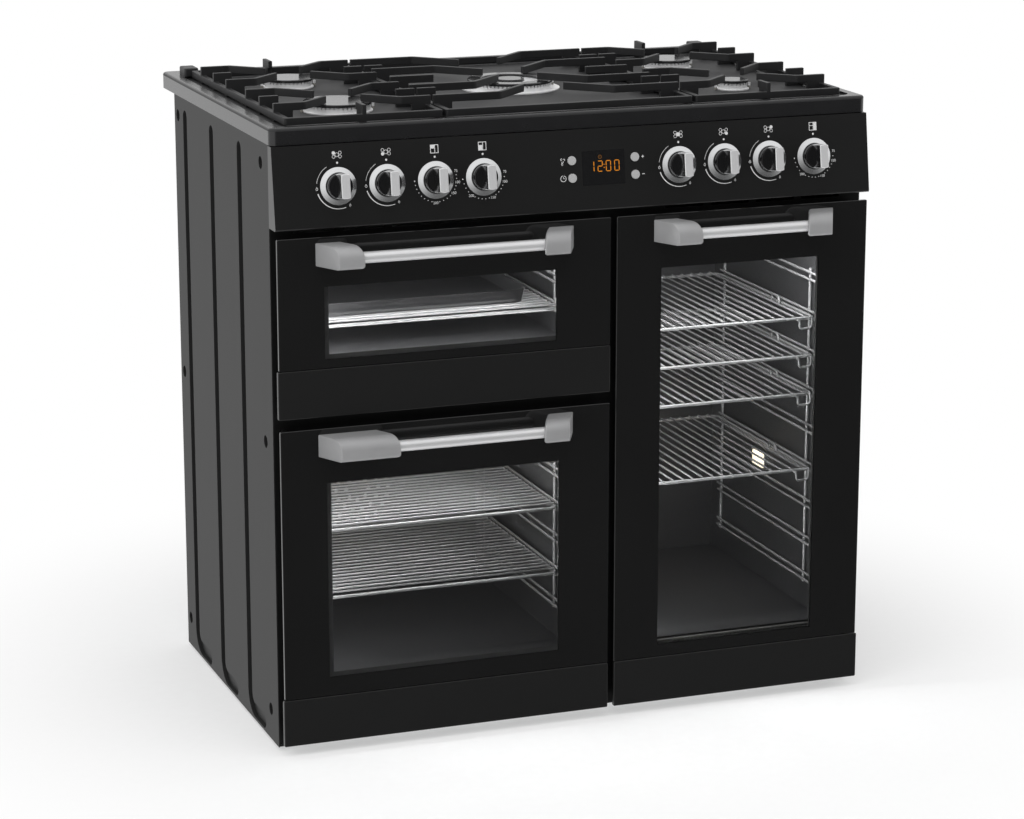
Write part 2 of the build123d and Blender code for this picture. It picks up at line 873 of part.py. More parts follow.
with BuildPart() as burner_caps:
    with BuildSketch(Plane.XY.offset(cap_floor)):
        for x, y, radius in burners:
            with Locations((x, y)):
                Circle(radius + cap_overhang)
        with Locations(wok_place):
            Circle(wok_ring + cap_overhang)
            Circle(wok_ring_inner - cap_overhang, mode=Mode.SUBTRACT)
            Circle(wok_core + cap_overhang)
    extrude(amount=cap_thickness)
    fillet(burner_caps.faces().filter_by(Plane.XY).sort_by(Axis.Z)[-6:].edges(), cap_thickness / 3)
save(burner_caps.part, "burner_caps")

# Pan supports: cast frames with upright blades bent towards each burner
blade_top = height + support_rise
arm_floor = blade_top - arm_height
rail_floor = height + rail_top - rail_height
support_front = support_centre - support_depth / 2
support_rear = support_centre + support_depth / 2


def pan_support(name, left, right, legs, arms, blades):
    """A frame in plan, legs down to the hob, bent blade arms and straight blades."""
    with BuildPart() as support:
        with BuildSketch(Plane.XY.offset(rail_floor)):
            with Locations(((left + right) / 2, support_centre)):
                RectangleRounded(right - left, support_depth, support_corner)
                Rectangle(
                    right - left - 2 * rail_width,
                    support_depth - 2 * rail_width,
                    mode=Mode.SUBTRACT,
                )
        extrude(amount=rail_height)
        with BuildSketch(Plane.XY.offset(arm_floor)):
            for arm in arms:
                with BuildLine():
                    FilletPolyline(*arm, radius=arm_bend)
                trace(line_width=blade)
            for start, end in blades:
                with BuildLine():
                    Line(start, end)
                trace(line_width=blade)
        extrude(amount=arm_height)
        with BuildSketch(Plane.XY.offset(well_floor + running)):
            for x, y, along_x, along_y in legs:
                with BuildLine():
                    Line((x, y), (x + along_x * leg_length, y + along_y * leg_length))
                trace(line_width=blade)
        extrude(amount=blade_top - well_floor - running)
    save(support.part, name)


def side_support(centre_x, name):
    """One of the outer pan supports, each over two burners."""
    left = centre_x - side_support_width / 2
    right = centre_x + side_support_width / 2
    legs = []
    arms = []
    blades = []
    for edge, inward in ((left, 1), (right, -1)):
        for row in (front_row, rear_row):
            legs.append((edge, row, inward, 0))
            for turn in (-1, 1):
                start = row + turn * finger_span
                bend = (centre_x - inward * finger_span, start)
                tip = (centre_x - inward * finger_tip, row + turn * finger_tip)
                legs.append((edge, start, inward, 0))
                arms.append([(edge, start), bend, tip])
    for edge, inward in ((support_front, 1), (support_rear, -1)):
        legs.append((centre_x, edge, 0, inward))
        blades.append([(centre_x, edge), (centre_x, edge + inward * upright_length)])
    pan_support(name, left, right, legs, arms, blades)


side_support(-side_centre, "pan_support_left")
side_support(side_centre, "pan_support_right")

centre_left = -(side_centre - side_support_width / 2 - support_gap)
centre_legs = []
centre_arms = []
centre_blades = []
for edge, inward in ((centre_left, 1), (-centre_left, -1)):
    centre_legs.append((edge, support_centre, inward, 0))
    end = (edge + inward * middle_blade, support_centre)
    centre_blades.append([(edge, support_centre), end])
    for turn in (-1, 1):
        centre_legs.append((edge, support_centre + turn * row_pitch / 2, inward, 0))
        for span in (wide_finger_span, wide_outer_span):
            start = support_centre + turn * span
            bend = (-inward * wide_finger_span, start)
            tip = (-inward * wide_finger_tip, start - turn * (wide_finger_span - wide_finger_tip))
            centre_legs.append((edge, start, inward, 0))
            centre_arms.append([(edge, start), bend, tip])
pan_support(
    "pan_support_centre", centre_left, -centre_left, centre_legs, centre_arms, centre_blades
)

# Control panel: leaning fascia with closed ends, open at the back
knob_places = []
for knob in range(knobs_per_side):
    knob_places.append(-half_width + left_knob_inset + knob * knob_pitch)
for knob in range(knobs_per_side):
    knob_places.append(half_width - right_knob_inset - (knobs_per_side - 1 - knob) * knob_pitch)
oven_knobs = (2, 3, 7)
clock_x = knob_places[knobs_per_side] - clock_gap
button_places = [
    (clock_x + side * button_offset, clock_rise + level * button_spread / 2)
    for side in (-1, 1)
    for level in (1, -1)
]
inner_shift = panel_wall / cos(panel_lean)
panel_slope = (panel_head - panel_foot) / (panel_top - panel_bottom)
button_hole = button_diameter / 2 + fit
with BuildPart() as control_panel:
    with BuildSketch(Plane.YZ.offset(-half_width)) as profile:
        with BuildLine():
            Polyline(
                (panel_foot, panel_bottom),
                (panel_head, panel_top),
                (carcass_front, panel_top),
                (carcass_front, panel_bottom),
                close=True,
            )
        make_face()
        fillet(profile.vertices().sort_by(Axis.X)[0], 3.0)
    extrude(amount=width)
    with BuildSketch(Plane.YZ.offset(-half_width + panel_wall)):
        with BuildLine():
            Polyline(
                (panel_foot + panel_slope * panel_wall + inner_shift, panel_bottom + panel_wall),
                (panel_head - panel_slope * panel_wall + inner_shift, panel_top - panel_wall),
                (carcass_front, panel_top - panel_wall),
                (carcass_front, panel_bottom + panel_wall),
                close=True,
            )
        make_face()
    extrude(amount=width - 2 * panel_wall, mode=Mode.SUBTRACT)
    for x in knob_places:
        with BuildSketch(on_panel(x, knob_rise, -2 * panel_wall)):
            Circle(spindle_diameter / 2 + 2)
        extrude(amount=3 * panel_wall, mode=Mode.SUBTRACT)
    for x, rise in button_places:
        with BuildSketch(on_panel(x, rise, -2 * panel_wall)):
            Circle(button_hole)
        extrude(amount=3 * panel_wall, mode=Mode.SUBTRACT)
    with BuildSketch(on_panel(clock_x, clock_rise, -2 * panel_wall)):
        Rectangle(clock_width, clock_height)
    extrude(amount=3 * panel_wall, mode=Mode.SUBTRACT)
save(control_panel.part, "control_panel")

# Clock module: tinted window, and the housing behind it with the board for the buttons
with BuildPart() as clock_module:
    with BuildSketch(on_panel(clock_x, clock_rise, -clock_glass)):
        Rectangle(clock_width - fit, clock_height - fit)
    extrude(amount=clock_glass)
    with BuildSketch(on_panel(clock_x, clock_rise, -panel_wall - running)):
        Rectangle(clock_width + 2 * clock_box_wall, clock_height + 2 * clock_box_wall)
    extrude(amount=-clock_box_depth)
    with BuildSketch(on_panel(clock_x, clock_rise, -panel_wall - running)):
        Rectangle(clock_width - clock_box_wall, clock_height - clock_box_wall)
    extrude(amount=-(clock_box_depth - clock_box_wall), mode=Mode.SUBTRACT)
    board_back = -panel_wall - running - clock_box_depth
    with BuildSketch(on_panel(clock_x, clock_rise, board_back)):
        Rectangle(2 * (button_offset + button_diameter), clock_height)
    extrude(amount=button_board)
    for x, rise in button_places:
        with BuildSketch(on_panel(x, rise, board_back + button_board)):
            Circle(button_stem / 2 + running)
        extrude(amount=-button_board / 2, mode=Mode.SUBTRACT)
save(clock_module.part, "clock_module")

# Push buttons: round head, stop flange behind the panel, stem into the board
button_names = ("button_mode", "button_clock", "button_plus", "button_minus")
for button_name, (x, rise) in zip(button_names, button_places):
    with BuildPart() as button:
        with BuildSketch(on_panel(x, rise, -panel_wall - fit)):
            Circle(button_diameter / 2)
        extrude(amount=panel_wall + fit + button_proud)
        fillet(button.edges().filter_by(GeomType.CIRCLE).sort_by(Axis.Y)[0], 0.6)
        with BuildSketch(on_panel(x, rise, -panel_wall - fit)):
            Circle(button_diameter / 2 + 1.2)
        extrude(amount=-1.0)
        with BuildSketch(on_panel(x, rise, -panel_wall - fit)):
            Circle(button_stem / 2)
        extrude(amount=board_back + button_board + panel_wall + fit - 1.0)
    save(button.part, button_name)

# Knobs and their bezels
knob_names = (
    "knob_rear_left",
    "knob_front_left",
    "knob_top_oven",
    "knob_main_oven",
    "knob_wok",
    "knob_front_right",
    "knob_rear_right",
    "knob_tall_oven",
)
for knob_name, x in zip(knob_names, knob_places):
    with BuildPart() as knob:
        with BuildSketch(on_panel(x, knob_rise, fit)):
            Circle(knob_diameter / 2)
        extrude(amount=knob_base_height)
        fillet(knob.edges().filter_by(GeomType.CIRCLE).sort_by(Axis.Y)[0], 1.5)
        with BuildSketch(on_panel(x, knob_rise, fit)):
            Circle(knob_diameter / 2)
            Rectangle(grip_width, knob_diameter, mode=Mode.INTERSECT)
        extrude(amount=grip_height)
        with BuildSketch(on_panel(x, knob_rise, fit)):
            Circle(spindle_diameter / 2 + running)
        extrude(amount=spindle_reach, mode=Mode.SUBTRACT)
    save(knob.part, knob_name)

with BuildPart() as knob_bezels:
    for x in knob_places:
        with BuildSketch(on_panel(x, knob_rise, 0)):
            Circle(bezel_outer / 2)
        extrude(amount=bezel_height, taper=45)
        with BuildSketch(on_panel(x, knob_rise, 0)):
            Circle(bezel_inner / 2)
        extrude(amount=bezel_height, mode=Mode.SUBTRACT)
save(knob_bezels.part, "knob_bezels")

# Gas rail with its taps, the pipe to the rear inlet, and the three oven switches
rail_half = half_width - pipe_inset + pipe_diameter / 2
with BuildPart() as control_gear:
    with BuildSketch(rail_plane):
        Rectangle(2 * rail_half, rail_size)
    extrude(amount=-rail_size)
    with BuildSketch(Plane.XZ.offset(-rail_centre.Y)):
        with Locations((pipe_x, rail_centre.Z)):
            Circle(pipe_diameter / 2)
    extrude(amount=-(carcass_back + inlet_length / 2 - rail_centre.Y))
    with BuildSketch(Plane.XZ.offset(-(carcass_back + inlet_length / 2))):
        with Locations((pipe_x, rail_centre.Z)):
            RegularPolygon(inlet_nut / 2, 6)
    extrude(amount=-inlet_length / 2)
    with BuildSketch(Plane.XZ.offset(-(carcass_back + inlet_length))):
        with Locations((pipe_x, rail_centre.Z)):
            Circle(inlet_diameter / 2)
    extrude(amount=-inlet_length)
    for index, x in enumerate(knob_places):
        with BuildSketch(on_panel(x, knob_rise, -tap_setback)):
            if index in oven_knobs:
                RectangleRounded(switch_width, switch_width, 3)
            else:
                Circle(tap_diameter / 2)
        extrude(amount=-(tap_length - running))
        with BuildSketch(on_panel(x, knob_rise, -tap_setback)):
            Circle(spindle_diameter / 2)
        extrude(amount=tap_setback + spindle_reach - fit)
save(control_gear.part, "control_gear")


# Side racks: wire ladders whose loops carry the shelf edges
def rack_side(x, wall_side, heights):
    """One rack: wire loops in front of two upright posts by the oven wall."""
    loop_front = frame_back + rack_front
    loop_back = loop_front + rack_depth
    post_x = x + wall_side * ((rack_wire + rack_post) / 2 - weld)
    low = heights[0] - rack_loop
    high = heights[-1] + rack_loop
    with BuildPart() as rack:
        for z in heights:
            with BuildLine() as loop:
                FilletPolyline(
                    (x, loop_back, z + rack_loop / 2),
                    (x, loop_front, z + rack_loop / 2),
                    (x, loop_front, z - rack_loop / 2),
                    (x, loop_back, z - rack_loop / 2),
                    radius=rack_loop / 2 - 0.5,
                )
            with BuildSketch(Plane(origin=loop.line @ 0, z_dir=loop.line % 0)):
                Circle(rack_wire / 2)
            sweep()
        with BuildSketch(Plane.XY.offset(low)):
            with Locations((post_x, loop_front + rack_front), (post_x, loop_back - rack_post)):
                Circle(rack_post / 2)
        extrude(amount=high - low)
    return rack.part


rack_sets = ((tall_mouth, tall_runners), (main_mouth, main_runners), (top_mouth, top_runners))
with BuildPart() as side_racks:
    for mouth, heights in rack_sets:
        add(rack_side(mouth.right - rack_inset, 1, heights))
        add(rack_side(mouth.left + rack_inset, -1, heights))
save(side_racks.part, "side_racks")


# Oven shelves: a rim of thick wire with thin bars welded on top
def wire_shelf(mouth, z, bars_across, bar_pitch):
    """One shelf between the racks of an oven, with its rim at height z."""
    left = mouth.left + rack_inset + shelf_rim / 2
    right = mouth.right - rack_inset - shelf_rim / 2
    front = frame_back + rack_front + rack_wire
    back = front + rack_depth
    bar_z = z + (shelf_rim + shelf_bar) / 2 - weld
    with BuildPart() as shelf:
        with BuildLine() as rim:
            FilletPolyline(
                (left, front, z),
                (right, front, z),
                (right, back, z),
                (left, back, z),
                radius=shelf_corner,
                close=True,
            )
        with BuildSketch(Plane(origin=rim.line @ 0, z_dir=rim.line % 0)):
            Circle(shelf_rim / 2)
        sweep()
        if bars_across:
            count = int((back - front - 2 * shelf_corner) / bar_pitch) + 1
            with BuildSketch(Plane.YZ.offset(left)):
                with Locations(((front + back) / 2, bar_z)):
                    with GridLocations(bar_pitch, 1, count, 1):
                        Circle(shelf_bar / 2)
            extrude(amount=right - left)
        else:
            count = int((right - left - 2 * shelf_corner) / bar_pitch) + 1
            with BuildSketch(facing(front)):
                with Locations(((left + right) / 2, bar_z)):
                    with GridLocations(bar_pitch, 1, count, 1):
                        Circle(shelf_bar / 2)
            extrude(amount=-(back - front))
    return shelf.part


shelf_sets = (
    (tall_mouth, tall_runners, tall_shelves, False, tall_bar_pitch),
    (main_mouth, main_runners, main_shelves, True, main_bar_pitch),
    (top_mouth, top_runners, top_shelves, True, main_bar_pitch),
)
with BuildPart() as oven_shelves:
    for mouth, heights, places, bars_across, bar_pitch in shelf_sets:
        for place in places:
            add(wire_shelf(mouth, heights[place] - shelf_drop, bars_across, bar_pitch))
save(oven_shelves.part, "oven_shelves")

# Grill tray: shallow pressed pan on the top oven's shelf
tray_floor = top_runners[0] - shelf_drop + shelf_top + running
tray_middle = (top_mouth.centre[0], frame_back + rack_front + rack_wire + rack_depth / 2)
with BuildPart() as grill_tray:
    with BuildSketch(Plane.XY.offset(tray_floor)):
        with Locations(tray_middle):
            RectangleRounded(tray_width, tray_depth, 20)
    extrude(amount=tray_rim, taper=-12)
    with BuildSketch(Plane.XY.offset(tray_floor + sheet)):
        with Locations(tray_middle):
            RectangleRounded(tray_width - 2 * sheet, tray_depth - 2 * sheet, 19)
    extrude(amount=tray_rim, taper=-12, mode=Mode.SUBTRACT)
save(grill_tray.part, "grill_tray")

# Fan oven: cover, wheel on its shaft, motor
fan_x, fan_z = fan_centre
cover_area = Area(
    fan_x - cover_width / 2,
    fan_x + cover_width / 2,
    fan_z - cover_height / 2,
    fan_z + cover_height / 2,
)
with BuildPart() as fan_cover:
    with BuildSketch(facing(liner_back)):
        area_face(cover_area, 20)
    extrude(amount=cover_depth)
    with BuildSketch(facing(liner_back)):
        area_face(cover_area.grown(-sheet), 19)
    extrude(amount=cover_depth - sheet, mode=Mode.SUBTRACT)
    with BuildSketch(facing(liner_back - cover_depth)):
        with Locations(fan_centre):
            for ring, holes in ((18, 8), (34, 14), (50, 20), (66, 26)):
                with PolarLocations(ring, holes):
                    Circle(3.4)
            with PolarLocations(cover_width / 2 - 22, 24):
                SlotOverall(14, 5)
    extrude(amount=-sheet, mode=Mode.SUBTRACT)
save(fan_cover.part, "fan_cover")

fan_back = liner_back - 4.0
with BuildPart() as fan_wheel:
    with BuildSketch(facing(fan_back)):
        with Locations(fan_centre):
            Circle(fan_diameter / 2)
    extrude(amount=sheet)
    with BuildSketch(facing(fan_back)):
        with Locations(fan_centre):
            with PolarLocations(fan_diameter / 2 - 16, fan_blades):
                Rectangle(24, sheet, rotation=35)
    extrude(amount=fan_depth)
    with BuildSketch(facing(fan_back)):
        with Locations(fan_centre):
            Circle(shaft_diameter)
    extrude(amount=fan_depth)
    with BuildSketch(facing(fan_back)):
        with Locations(fan_centre):
            Circle(shaft_diameter / 2)
    extrude(amount=-(liner_back - fan_back + sheet + motor_length * 0.75))
save(fan_wheel.part, "fan_wheel")

with BuildPart() as fan_motor:
    with BuildSketch(facing(liner_back + sheet + running)):
        with Locations(fan_centre):
            RectangleRounded(motor_diameter + 30, 30, 6)
    extrude(amount=-3)
    with BuildSketch(facing(liner_back + sheet + running + 3)):
        with Locations(fan_centre):
            Circle(motor_diameter / 2)
    extrude(amount=-motor_length)
    with BuildSketch(facing(liner_back + sheet + running)):
        with Locations(fan_centre):
            Circle(shaft_diameter / 2 + running)
    extrude(amount=-(motor_length * 0.75 + fit), mode=Mode.SUBTRACT)
save(fan_motor.part, "fan_motor")

# Heating elements: ring round the fan, grill under the top oven's ceiling, loop under the
# tall oven's floor
grill_z = top_mouth.top - 16.0
grill_front = frame_back + 70.0
grill_half = top_mouth.width / 2 - 50.0
grill_passes = 6
ring_y = liner_back - cover_depth / 2
with BuildPart() as heating_elements:
    with Locations(Location((fan_x, ring_y, fan_z), (90, 0, 0))):
        Torus(ring_diameter / 2, element_wire / 2)
    with BuildSketch(facing(liner_back)):
        with Locations((fan_x - ring_diameter / 2, fan_z), (fan_x + ring_diameter / 2, fan_z)):
            Circle(terminal_diameter / 2)
    extrude(amount=liner_back - ring_y)
    grill_points = []
    pass_pitch = 2 * grill_half / (grill_passes - 1)
    for turn in range(grill_passes):
        x = top_mouth.centre[0] - grill_half + turn * pass_pitch
        ends = [(x, liner_back - 40, grill_z), (x, grill_front, grill_z)]
        if turn == 0:
            ends[0] = (x, liner_back, grill_z)
        if turn % 2:
            ends.reverse()
        if turn == grill_passes - 1:
            ends[-1] = (x, liner_back, grill_z)
        grill_points.extend(ends)
    with BuildLine() as grill:
        FilletPolyline(*grill_points, radius=pass_pitch / 2 - 1)
    with BuildSketch(Plane(origin=grill.line @ 0, z_dir=grill.line % 0)):
        Circle(element_wire / 2)
    sweep()
    base_z = tall_mouth.bottom - sheet - fit - element_wire / 2
    base_half = tall_mouth.width / 2 - 60.0
    base_x = tall_mouth.centre[0]
    with BuildLine() as base_loop:
        FilletPolyline(
            (base_x - base_half, liner_back - 20, base_z),
            (base_x - base_half, frame_back + 80, base_z),
            (base_x + base_half, frame_back + 80, base_z),
            (base_x + base_half, liner_back - 20, base_z),
            radius=30,
        )
    with BuildSketch(Plane(origin=base_loop.line @ 0, z_dir=base_loop.line % 0)):
        Circle(element_wire / 2)
    sweep()
save(heating_elements.part, "heating_elements")

# Oven lamps: between two runners on the tall oven's right wall, and above the top runner on
# the main oven's left wall
lamp_y = frame_back + lamp_setback
tall_runner_pitch = tall_runners[1] - tall_runners[0]
tall_lamp_z = tall_runners[0] + tall_lamp_runner * tall_runner_pitch
with BuildPart() as oven_lamps:
    for wall, inward, z in (
        (tall_mouth.right, -1, tall_lamp_z),
        (main_mouth.left, 1, main_mouth.top - main_lamp_drop),
    ):
        with BuildSketch(Plane.YZ.offset(wall)):
            with Locations((lamp_y, z)):
                RectangleRounded(lamp_width, lamp_height, 4)
        extrude(amount=inward * lamp_depth / 2)
        with BuildSketch(Plane.YZ.offset(wall)):
            with Locations((lamp_y, z)):
                RectangleRounded(lamp_width - 8, lamp_height - 8, 3)
        extrude(amount=inward * (lamp_depth - fit))
save(oven_lamps.part, "oven_lamps")

# Mains terminal box on the back panel, with its cable hole
with BuildPart() as terminal_box:
    with BuildSketch(facing(carcass_back + terminal_depth)):
        with Locations((terminal_x, terminal_rise)):
            RectangleRounded(terminal_width, terminal_height, 6)
    extrude(amount=terminal_depth)
    with BuildSketch(facing(carcass_back + terminal_depth - terminal_wall)):
        with Locations((terminal_x, terminal_rise)):
            RectangleRounded(
                terminal_width - 2 * terminal_wall, terminal_height - 2 * terminal_wall, 4
            )
    extrude(amount=terminal_depth - terminal_wall, mode=Mode.SUBTRACT)
    with BuildSketch(facing(carcass_back + terminal_depth)):
        with Locations((terminal_x, terminal_rise)):
            Circle(cable_hole / 2)
    extrude(amount=terminal_wall, mode=Mode.SUBTRACT)
save(terminal_box.part, "terminal_box")
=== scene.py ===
import math

import bmesh
import bpy
from mathutils import Matrix, Vector


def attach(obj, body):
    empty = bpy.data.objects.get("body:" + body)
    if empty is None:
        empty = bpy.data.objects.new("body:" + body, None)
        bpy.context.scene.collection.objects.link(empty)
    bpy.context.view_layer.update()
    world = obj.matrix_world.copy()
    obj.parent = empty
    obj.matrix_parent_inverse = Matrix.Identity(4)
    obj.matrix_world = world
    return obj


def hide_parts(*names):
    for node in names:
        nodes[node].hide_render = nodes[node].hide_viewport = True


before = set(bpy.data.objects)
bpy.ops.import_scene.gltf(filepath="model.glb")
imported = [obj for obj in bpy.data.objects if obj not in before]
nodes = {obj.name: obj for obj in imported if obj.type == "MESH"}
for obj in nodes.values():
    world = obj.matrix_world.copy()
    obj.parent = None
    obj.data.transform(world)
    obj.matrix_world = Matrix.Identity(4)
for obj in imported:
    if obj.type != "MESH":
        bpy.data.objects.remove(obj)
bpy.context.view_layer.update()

# The studio: a white cyclorama all round with a pale floor, a large soft box overhead and two
# softer ones at the sides. One black drape hangs in front, where the flat glass of the doors
# and the fascia mirror it, so they stay deep while everything rounded catches the white.
scene = bpy.context.scene
scene.view_settings.view_transform = "Standard"


def add_node(tree, kind, inputs=None, **settings):
    """Add a node with its settings, and its inputs as values or as links from sockets."""
    made = tree.nodes.new(kind)
    for key, value in settings.items():
        setattr(made, key, value)
    for key, value in (inputs or {}).items():
        if isinstance(value, bpy.types.NodeSocket):
            tree.links.new(value, made.inputs[key])
        else:
            made.inputs[key].default_value = value
    return made


def from_hex(code):
    """An sRGB hex value as a linear colour."""
    parts = [int(code[i:i + 2], 16) / 255 for i in (1, 3, 5)]
    return [c / 12.92 if c <= 0.04045 else ((c + 0.055) / 1.055) ** 2.4 for c in parts] + [1.0]


# The camera stands 4.7 m off, where the photograph was taken, and has a long lens
look_down, turn_right = 0.2469, 0.3543
camera_data = bpy.data.cameras.new("camera")
camera_data.sensor_width = 36
camera_data.lens = 109.52
camera = bpy.data.objects.new("camera", camera_data)
camera.location = (-1.59684, -4.31870, 1.56451)
camera.rotation_euler = (math.pi / 2 - look_down, 0, -turn_right)
scene.collection.objects.link(camera)
scene.camera = camera

drape_side = Vector((0.36, -0.92, -0.10)).normalized()
drape_core, drape_edge = math.radians(17), math.radians(48)
drape_glow, room_glow, backdrop_glow = 0.04, 0.62, 1.0
world = bpy.data.worlds.new("cyclorama")
scene.world = world
world.use_nodes = True
tree = world.node_tree
tree.nodes.clear()
facing = add_node(tree, "ShaderNodeTexCoord").outputs["Generated"]
drape = add_node(tree, "ShaderNodeVectorMath", {0: facing, 1: drape_side}, operation="DOT_PRODUCT")
mirrored = add_node(tree, "ShaderNodeMapRange", {
    "Value": drape.outputs["Value"], "From Min": math.cos(drape_edge),
    "From Max": math.cos(drape_core), "To Min": backdrop_glow, "To Max": drape_glow,
}, interpolation_type="SMOOTHSTEP")
rays = add_node(tree, "ShaderNodeLightPath")
through = add_node(tree, "ShaderNodeMath", {
    0: rays.outputs["Is Glossy Ray"], 1: rays.outputs["Is Transmission Ray"],
}, operation="MAXIMUM")
plain = add_node(tree, "ShaderNodeMix", {
    "Factor": through.outputs[0], "A": room_glow, "B": mirrored.outputs[0],
})
strength = add_node(tree, "ShaderNodeMix", {
    "Factor": rays.outputs["Is Camera Ray"], "A": plain.outputs[0], "B": backdrop_glow,
})
sky = add_node(tree, "ShaderNodeBackground", {
    "Color": (1, 1, 1, 1), "Strength": strength.outputs[0],
})
add_node(tree, "ShaderNodeOutputWorld", {"Surface": sky.outputs[0]})


def area_light(name, power, width, height, place, towards):
    """A rectangular lamp, in watts and metres, that shines from a place in a direction."""
    data = bpy.data.lights.new(name, "AREA")
    data.shape = "RECTANGLE"
    data.energy = power
    data.size = width
    data.size_y = height
    made = bpy.data.objects.new(name, data)
    made.location = place
    made.rotation_euler = Vector(towards).to_track_quat("-Z", "Y").to_euler()
    scene.collection.objects.link(made)
    return made


for name, power, width, height, place, target in (
    ("softbox_over", 34.0, 2.4, 1.8, (-0.6, -0.9, 3.1), (0, 0, 0.8)),
    ("softbox_left", 16.0, 1.6, 2.0, (-3.0, -1.6, 1.7), (0, 0, 0.6)),
    ("softbox_right", 9.0, 1.6, 2.0, (2.9, -2.2, 1.5), (0, 0, 0.6)),
):
    softbox = area_light(name, power, width, height, place, Vector(target) - Vector(place))
    softbox.visible_glossy = False

# Painted studio boards: matt white emulsion with a faint mottle of 17 mm from the roller, fading
# to the white of the cyclorama between 0.45 and 1.1 m from the middle. Mirror-like reflections
# pass through it to the studio's drape.
MM = 0.001
half_side, fade_start, fade_end = 7.0, 0.45, 1.10


def new_material(name):
    """An empty material, its node tree and the part's own coordinates in metres."""
    made = bpy.data.materials.new(name)
    made.use_nodes = True
    tree = made.node_tree
    tree.nodes.clear()
    return made, tree, add_node(tree, "ShaderNodeTexCoord").outputs["Object"]


bm = bmesh.new()
bmesh.ops.create_grid(bm, x_segments=24, y_segments=24, size=half_side)
floor_mesh = bpy.data.meshes.new("floor")
bm.to_mesh(floor_mesh)
bm.free()
floor = bpy.data.objects.new("floor", floor_mesh)
scene.collection.objects.link(floor)

floor_paint, tree, place = new_material("matt_white_emulsion")
mottle = add_node(tree, "ShaderNodeTexNoise", {
    "Vector": place, "Scale": 1 / (16.67 * MM), "Detail": 3.0,
})
tint = add_node(tree, "ShaderNodeMix", {
    0: mottle.outputs[0], 6: from_hex("#f3f3f3"), 7: from_hex("#fafafa"),
}, data_type="RGBA")
boards = add_node(tree, "ShaderNodeBsdfDiffuse", {"Color": tint.outputs[2]})
glow = add_node(tree, "ShaderNodeEmission", {"Color": (1, 1, 1, 1), "Strength": backdrop_glow})
reach = add_node(tree, "ShaderNodeVectorMath", {0: place}, operation="LENGTH")
far = add_node(tree, "ShaderNodeMapRange", {
    "Value": reach.outputs["Value"], "From Min": fade_start, "From Max": fade_end,
    "To Min": 0.45,
}, interpolation_type="SMOOTHSTEP")
fading = add_node(tree, "ShaderNodeMixShader", {
    0: far.outputs[0], 1: boards.outputs[0], 2: glow.outputs[0],
})
see_past = add_node(tree, "ShaderNodeBsdfTransparent")
glossy = add_node(tree, "ShaderNodeLightPath").outputs["Is Glossy Ray"]
surface = add_node(tree, "ShaderNodeMixShader", {
    0: glossy, 1: fading.outputs[0], 2: see_past.outputs[0],
})
add_node(tree, "ShaderNodeOutputMaterial", {"Surface": surface.outputs[0]})
floor_mesh.materials.append(floor_paint)


def mottled(name, dark, light, cell, detail=2.0):
    """A material whose colour drifts between two tones, in cells of a size in mm.

    The size is one number or one each along x, y and z. With the material come its tree, the
    tone and the drift behind it.
    """
    made, tree, place = new_material(name)
    scale = 1.0
    if isinstance(cell, tuple):
        place = add_node(tree, "ShaderNodeMapping", {
            "Vector": place, "Scale": [1 / (length * MM) for length in cell],
        }).outputs[0]
    else:
        scale = 1 / (cell * MM)
    drift = add_node(tree, "ShaderNodeTexNoise", {
        "Vector": place, "Scale": scale, "Detail": detail,
    }).outputs[0]
    tone = add_node(tree, "ShaderNodeMix", {
        0: drift, 6: from_hex(dark), 7: from_hex(light),
    }, data_type="RGBA").outputs[2]
    return made, tree, tone, drift


def finished(name, dark, light, cell, roughness, detail=2.0, **inputs):
    """A mottled material of one roughness, or of a range of it that drifts with the tone."""
    made, tree, tone, drift = mottled(name, dark, light, cell, detail)
    if isinstance(roughness, tuple):
        roughness = add_node(tree, "ShaderNodeMapRange", {
            "Value": drift, "To Min": roughness[0], "To Max": roughness[1],
        }).outputs[0]
    skin = add_node(tree, "ShaderNodeBsdfPrincipled", {
        "Base Color": tone, "Roughness": roughness, **inputs,
    })
    add_node(tree, "ShaderNodeOutputMaterial", {"Surface": skin.outputs[0]})
    return made


def powder_coat(name, dark, light, roughness, peel):
    """Baked polyester powder in two close tones, cloudy over 111 mm, with its peel in mm."""
    made, tree, place = new_material(name)
    cloud = add_node(tree, "ShaderNodeTexNoise", {
        "Vector": place, "Scale": 1 / (111.1 * MM), "Detail": 4.0, "Roughness": 0.6,
    })
    tone = add_node(tree, "ShaderNodeMix", {
        0: cloud.outputs[0], 6: from_hex(dark), 7: from_hex(light),
    }, data_type="RGBA")
    skin = add_node(tree, "ShaderNodeTexNoise", {
        "Vector": place, "Scale": 1 / (peel * MM), "Detail": 2.0,
    })
    matt = add_node(tree, "ShaderNodeMapRange", {
        "Value": skin.outputs[0], "To Min": roughness - 0.04, "To Max": roughness + 0.05,
    })
    dimples = add_node(tree, "ShaderNodeBump", {
        "Height": skin.outputs[0], "Strength": 0.25, "Distance": 0.05 * MM,
    })
    coat = add_node(tree, "ShaderNodeBsdfPrincipled", {
        "Base Color": tone.outputs[2], "Roughness": matt.outputs[0],
        "Normal": dimples.outputs[0], "IOR": 1.5,
    })
    add_node(tree, "ShaderNodeOutputMaterial", {"Surface": coat.outputs[0]})
    return made


def dress(material, *names):
    """Give CAD nodes their finish."""
    for name in names:
        for slot in nodes[name].material_slots:
            slot.material = material


def make_piece(name, bm, materials, body, sharp=30, closed=True):
    """Turn a bmesh into a piece that rides on a body and takes its finish from a slot."""
    mesh = bpy.data.meshes.new(name)
    if closed:
        bmesh.ops.recalc_face_normals(bm, faces=bm.faces)
    bm.to_mesh(mesh)
    bm.free()
    mesh.shade_smooth()
    mesh.set_sharp_from_angle(angle=math.radians(sharp))
    for material in materials:
        mesh.materials.append(material)
    made = bpy.data.objects.new(name, mesh)
    scene.collection.objects.link(made)
    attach(made, body)
    return made


